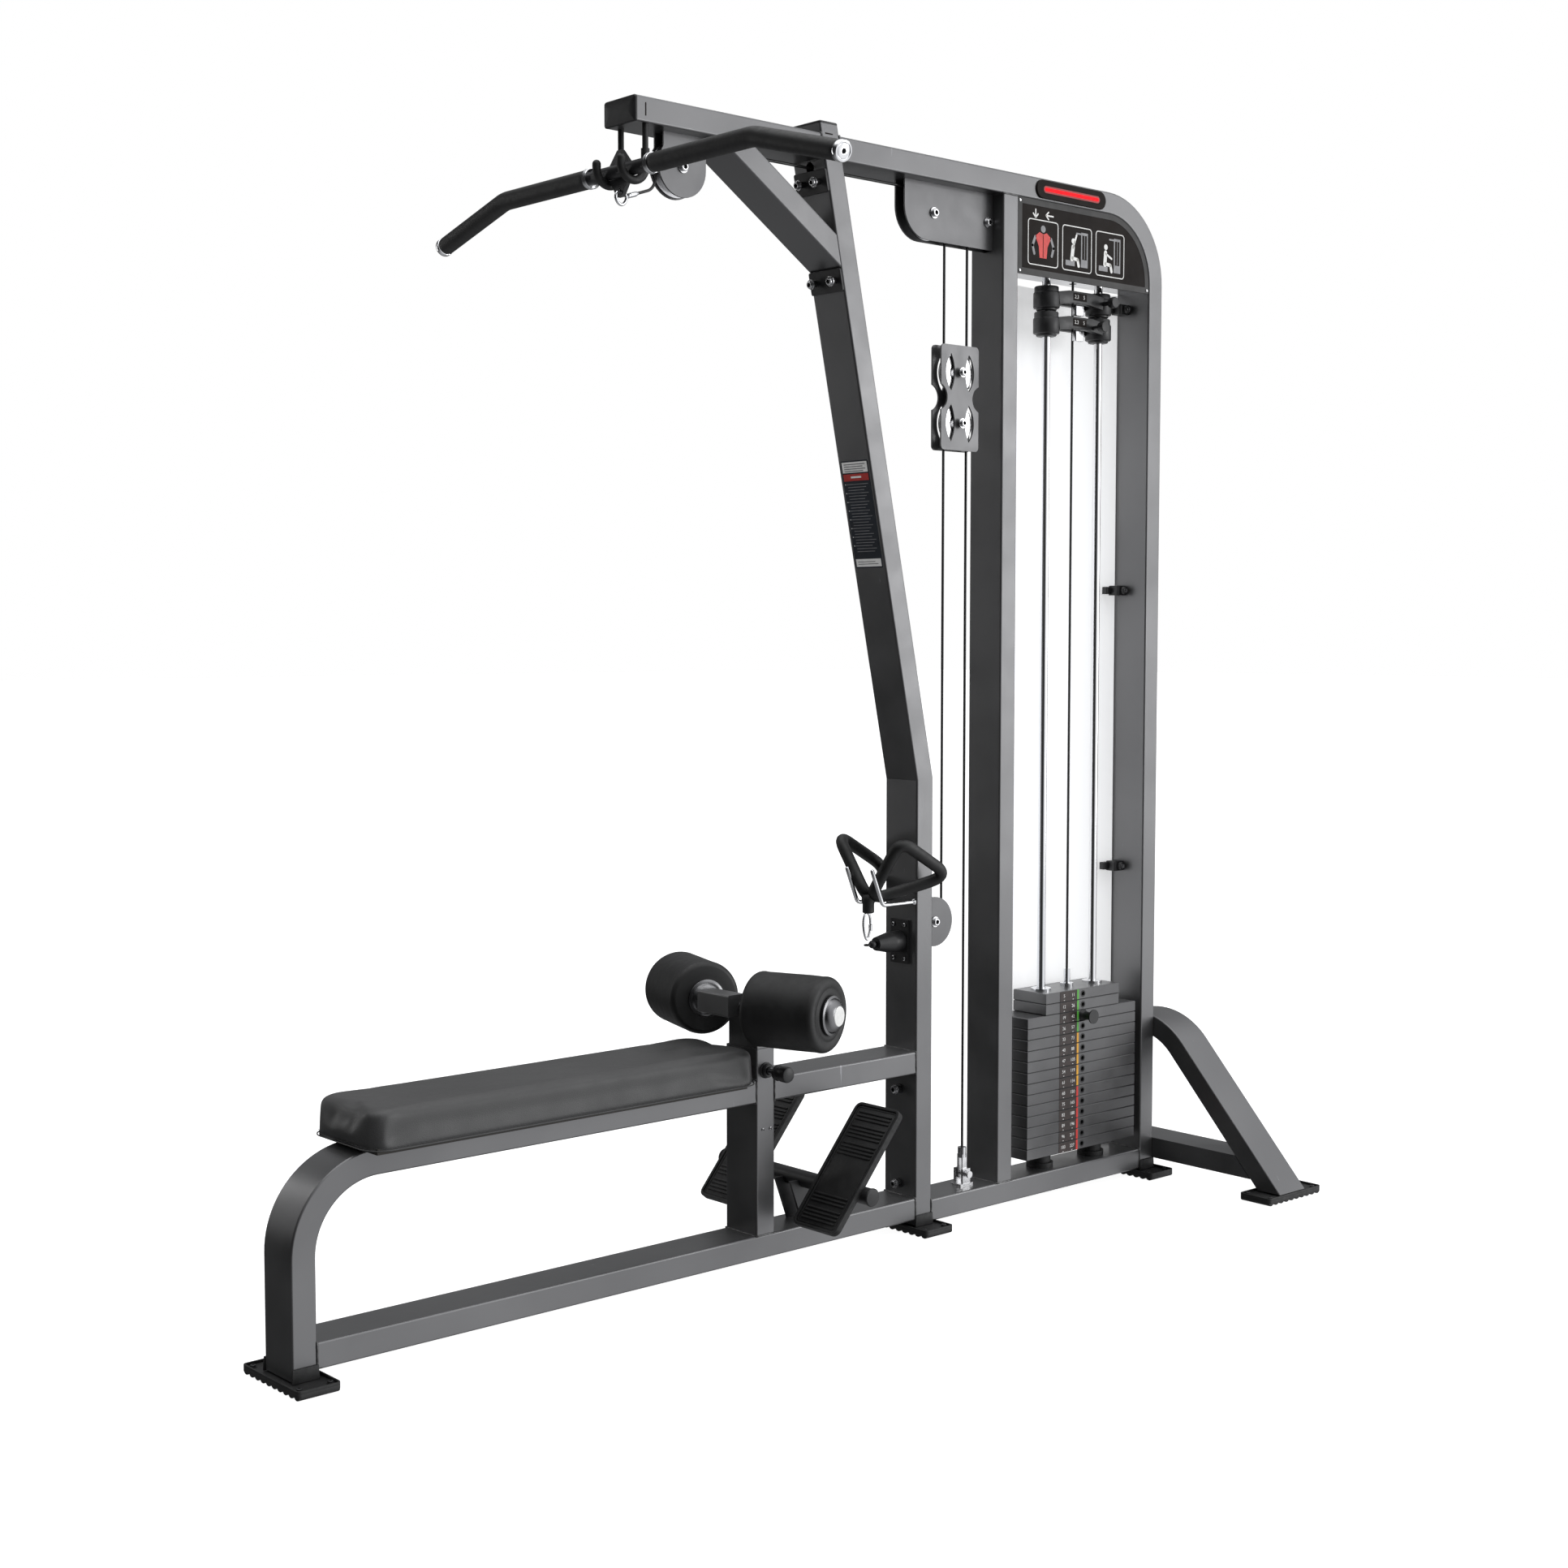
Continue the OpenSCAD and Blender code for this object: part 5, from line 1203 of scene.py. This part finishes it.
# heading: one arrow down, one towards the user
head_z = SIGN_TOP - 32
for arrow in ([(60, 10), (60, -8)], [(52, 0), (60, -9), (68, 0)], [(96, 0), (120, 0)],
              [(104, 8), (95, 0), (104, -8)]):
    stroke(bm, placed(arrow, SIGN_X0, head_z), 3.4, 2)
# three small screws
for x, z in ((SIGN_X0 + 7, SIGN_LOW + 7), (SIGN_X1 - 7, SIGN_LOW + 7), (SIGN_X0 + 7, SIGN_TOP - 8)):
    add_lathe(bm, [(3.4, 0), (3.4, 1), (2.4, 1.8), (0, 2)],
              axis_basis((x, SIGN_Y - 4, z), -ACROSS), 5, 20)
piece("instruction_plate", bm, [BORDER, SIGN, WHITE_PAINTED_GLOW, RED, GREY, ZINC], "frame",
      ["sign_plates"], crease=30)

BADGE_X = FRONT_UP_X + 228
BADGE_Z = BEAM_TOP - HALF_D


def stadium(length, height):
    r = height / 2
    half = length / 2 - r
    return arc((BADGE_X + half, BADGE_Z), r, -90, 90, 16) + arc((BADGE_X - half, BADGE_Z), r, 90, 270, 16)


bm = bmesh.new()
badge = side_view(-HALF_W)
add_prism(bm, stadium(242, 42), 4, badge, 0, inset=1.2)
add_prism(bm, stadium(196, 16), 0.15, badge, 2, start=4)
add_prism(bm, stadium(188, 8), 0.5, badge, 1, start=4.1)
piece("light_badge", bm, [SIGN, GLOW, HALO], "frame")

# decal on the leaning post: header, red bar, dark body with blank lines, footer
DECAL_LOW = 1485
DECAL_LEN = 230 / math.cos(LEAN)
DECAL_HALF = 42
DECAL_THICK = 0.4
LINE_PITCH = 6.4
decal_place = basis((lean_x(DECAL_LOW), 0, DECAL_LOW), -ACROSS, LEAN_OUT)


def patch(x0, z0, x1, z1, mat, thick=0.1, start=DECAL_THICK + 0.2):
    """Rectangle printed on the decal; x0 and x1 are how far in it is from the two sides."""
    outline = rect(x0 - DECAL_HALF, z0, DECAL_HALF - x1, z1)
    add_prism(bm, outline, thick, decal_place, mat, start=start)


bm = bmesh.new()
whole = round_box(2 * DECAL_HALF, DECAL_LEN, 3, 4, (0, DECAL_LEN / 2))
add_prism(bm, whole, DECAL_THICK, decal_place, 0)
for z0, z1, mat in ((DECAL_LEN - 26, DECAL_LEN - 3, 2), (DECAL_LEN - 44, DECAL_LEN - 29, 1), (3, 20, 2)):
    patch(3, z0, 3, z1, mat, 0.2, DECAL_THICK)
for i in range(4):
    patch(9, DECAL_LEN - 9 - i * 5, 9 + (i % 2) * 8, DECAL_LEN - 7 - i * 5, 3)
patch(26, DECAL_LEN - 38, 26, DECAL_LEN - 34, 2)
for i in range(24):
    z = DECAL_LEN - 52 - i * LINE_PITCH
    starts_item = i % 3 == 0
    patch(8 if starts_item else 12, z, 8 + (i * 7) % 19, z + 1.5, 3, start=DECAL_THICK)
    if starts_item:
        bullet = arc((5 - DECAL_HALF, z + 0.8), 1.2, 0, 330, 11)
        add_prism(bm, bullet, 0.12, decal_place, 2, start=DECAL_THICK)
for i in range(2):
    patch(9, 8 + i * 5, 12 + i * 9, 9.6 + i * 5, 3)
piece("post_label", bm, [NAVY, RED, WHITE_PAINTED_GLOW, GREY], "frame")

# ---------------------------------------------------------------- labels on the weight stack
PLATE_PITCH = 26
PLATE_HIGH = PLATE_PITCH - 0.5
STACK_LOW = low("lower_stack").z
PLATE_FACE = low("lower_stack").y
ROWS = 15
LAST_GREEN = 4
LAST_AMBER = 9
FIRST_KG = 5
KG_STEP = 7
KG_TO_LB = 2.2
DIGIT_SIZE = 11
STRIP = (STACK_X - 83, STACK_X - 16)
COLOUR_STRIP = (STACK_X - 22, STACK_X - 15.5)
KG_X = STRIP[0] + 15
LB_X = STRIP[1] - 20


def label_rows(name, rows, body):
    """For each plate a label with a colour, both weights over a small mark, and a rimmed pin hole."""
    bm = bmesh.new()
    place = side_view(PLATE_FACE)
    for row in rows:
        z = STACK_LOW + (ROWS - row) * PLATE_PITCH
        top = z + PLATE_HIGH
        middle = z + PLATE_HIGH / 2
        tint = 2 if row <= LAST_GREEN else 3 if row <= LAST_AMBER else 4
        add_prism(bm, rect(STRIP[0], z + 1.2, STRIP[1], top - 1), 0.5, place, 0)
        add_prism(bm, rect(COLOUR_STRIP[0], z + 1.2, COLOUR_STRIP[1], top - 1), 0.3, place, tint, start=0.5)
        kilos = FIRST_KG + KG_STEP * (row - 1)
        for weight, x in ((kilos, KG_X), (round(kilos * KG_TO_LB), LB_X)):
            add_text(bm, str(weight), DIGIT_SIZE, place @ Matrix.Translation((x, middle + 1, 0.62)), 1)
            add_prism(bm, rect(x - 2, z + 3, x + 2, z + 4.2), 0.1, place, 1, start=0.5)
        rim = arc((STACK_X, middle), 8.2, 0, 345, 23)
        bore = arc((STACK_X, middle), 5.4, 0, 345, 23)
        ring_prism(bm, rim, bore, 0.35, place, 5)
    piece(name, bm, [LABEL, WHITE_PAINTED_GLOW, GREEN, AMBER, RED, PLASTIC], body, crease=30)


label_rows("stack_labels_lifted", range(1, 4), "stack")
label_rows("stack_labels_resting", range(4, ROWS + 1), "frame")

# ---------------------------------------------------------------- drop weights
BOSS_IN = 31
ROD_GAP = 10.8
for word in ("lower", "upper"):
    node = f"addon_{word}"
    base = low(node).z
    tall = high(node).z - base
    rods = (low(node).x + BOSS_IN, high(node).x - BOSS_IN)
    span = rods[1] - rods[0]
    bm = bmesh.new()
    for x in rods:
        add_lathe(bm, [(ROD_GAP, 0), (22, 0), (24, 1.5), (24, 5), (29.5, 6), (31, 8), (31, 40), (30, 42),
                       (28.5, 43), (28.5, tall - 2), (27, tall), (ROD_GAP, tall), (ROD_GAP, 0)],
                  basis((x, 0, base), ALONG, UP), 0, 48)
    # two arms from boss to boss
    arm = [(16, 16), (62, 22), (span - 62, 22), (span - 16, 16), (span - 12, 44), (span - 50, 50),
           (50, 50), (12, 44)]
    for y in (-14, 28):
        add_prism(bm, placed(arm, rods[0], base), 14, side_view(y))
    # latch block, label and its numbers
    latch = basis((0, -21, 0), ALONG, UP)
    add_prism(bm, round_box(30, 13, 3, 4, (STACK_X - 4, 0)), 24, latch, 1, start=base - 5, inset=2)
    label = side_view(-28)
    add_prism(bm, placed(rect(-30, 28, 18, 46), STACK_X, base), 0.6, label, 2)
    for words, x in (("2.3", STACK_X - 18), ("5", STACK_X + 8)):
        add_text(bm, words, 12, label @ Matrix.Translation((x, base + 37, 0.75)), 3)
    piece(f"drop_weight_{word}_body", bm, [BLACK, ZINC, SIGN, WHITE_PAINTED_GLOW], f"drop_weight_{word}",
          [node], edge=0.7)

    knob = f"addon_knob_{word}"
    knob_mid = centre_of(knob)
    bm = bmesh.new()
    add_lathe(bm, [(4.6, 26), (5, 27), (5, 47), (9, 47), (11, 48.5), (11, 52), (13, 54), (13.2, 57),
                   (13.2, 63), (12, 65.4), (9, 66), (0, 66.2)],
              axis_basis((knob_mid.x, 0, knob_mid.z), -ACROSS), 0, 44, closed_ends=True)
    piece(f"drop_knob_{word}_grip", bm, [PLASTIC], f"drop_knob_{word}", [knob], crease=32)

# ---------------------------------------------------------------- floor
FLOOR_HALF_M = 60
FLOOR_STEPS = 24
FLOOR_GAP_M = 0.0005
bm = bmesh.new()
bmesh.ops.create_grid(bm, x_segments=FLOOR_STEPS, y_segments=FLOOR_STEPS, size=FLOOR_HALF_M)
floor_mesh = bpy.data.meshes.new("floor")
bm.to_mesh(floor_mesh)
bm.free()
floor_mesh.materials.append(FLOOR)
floor = bpy.data.objects.new("floor", floor_mesh)
floor.location = (0, 0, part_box("ground_feet")[0].z - FLOOR_GAP_M)
scene.collection.objects.link(floor)
floor.visible_diffuse = False
floor.visible_glossy = False
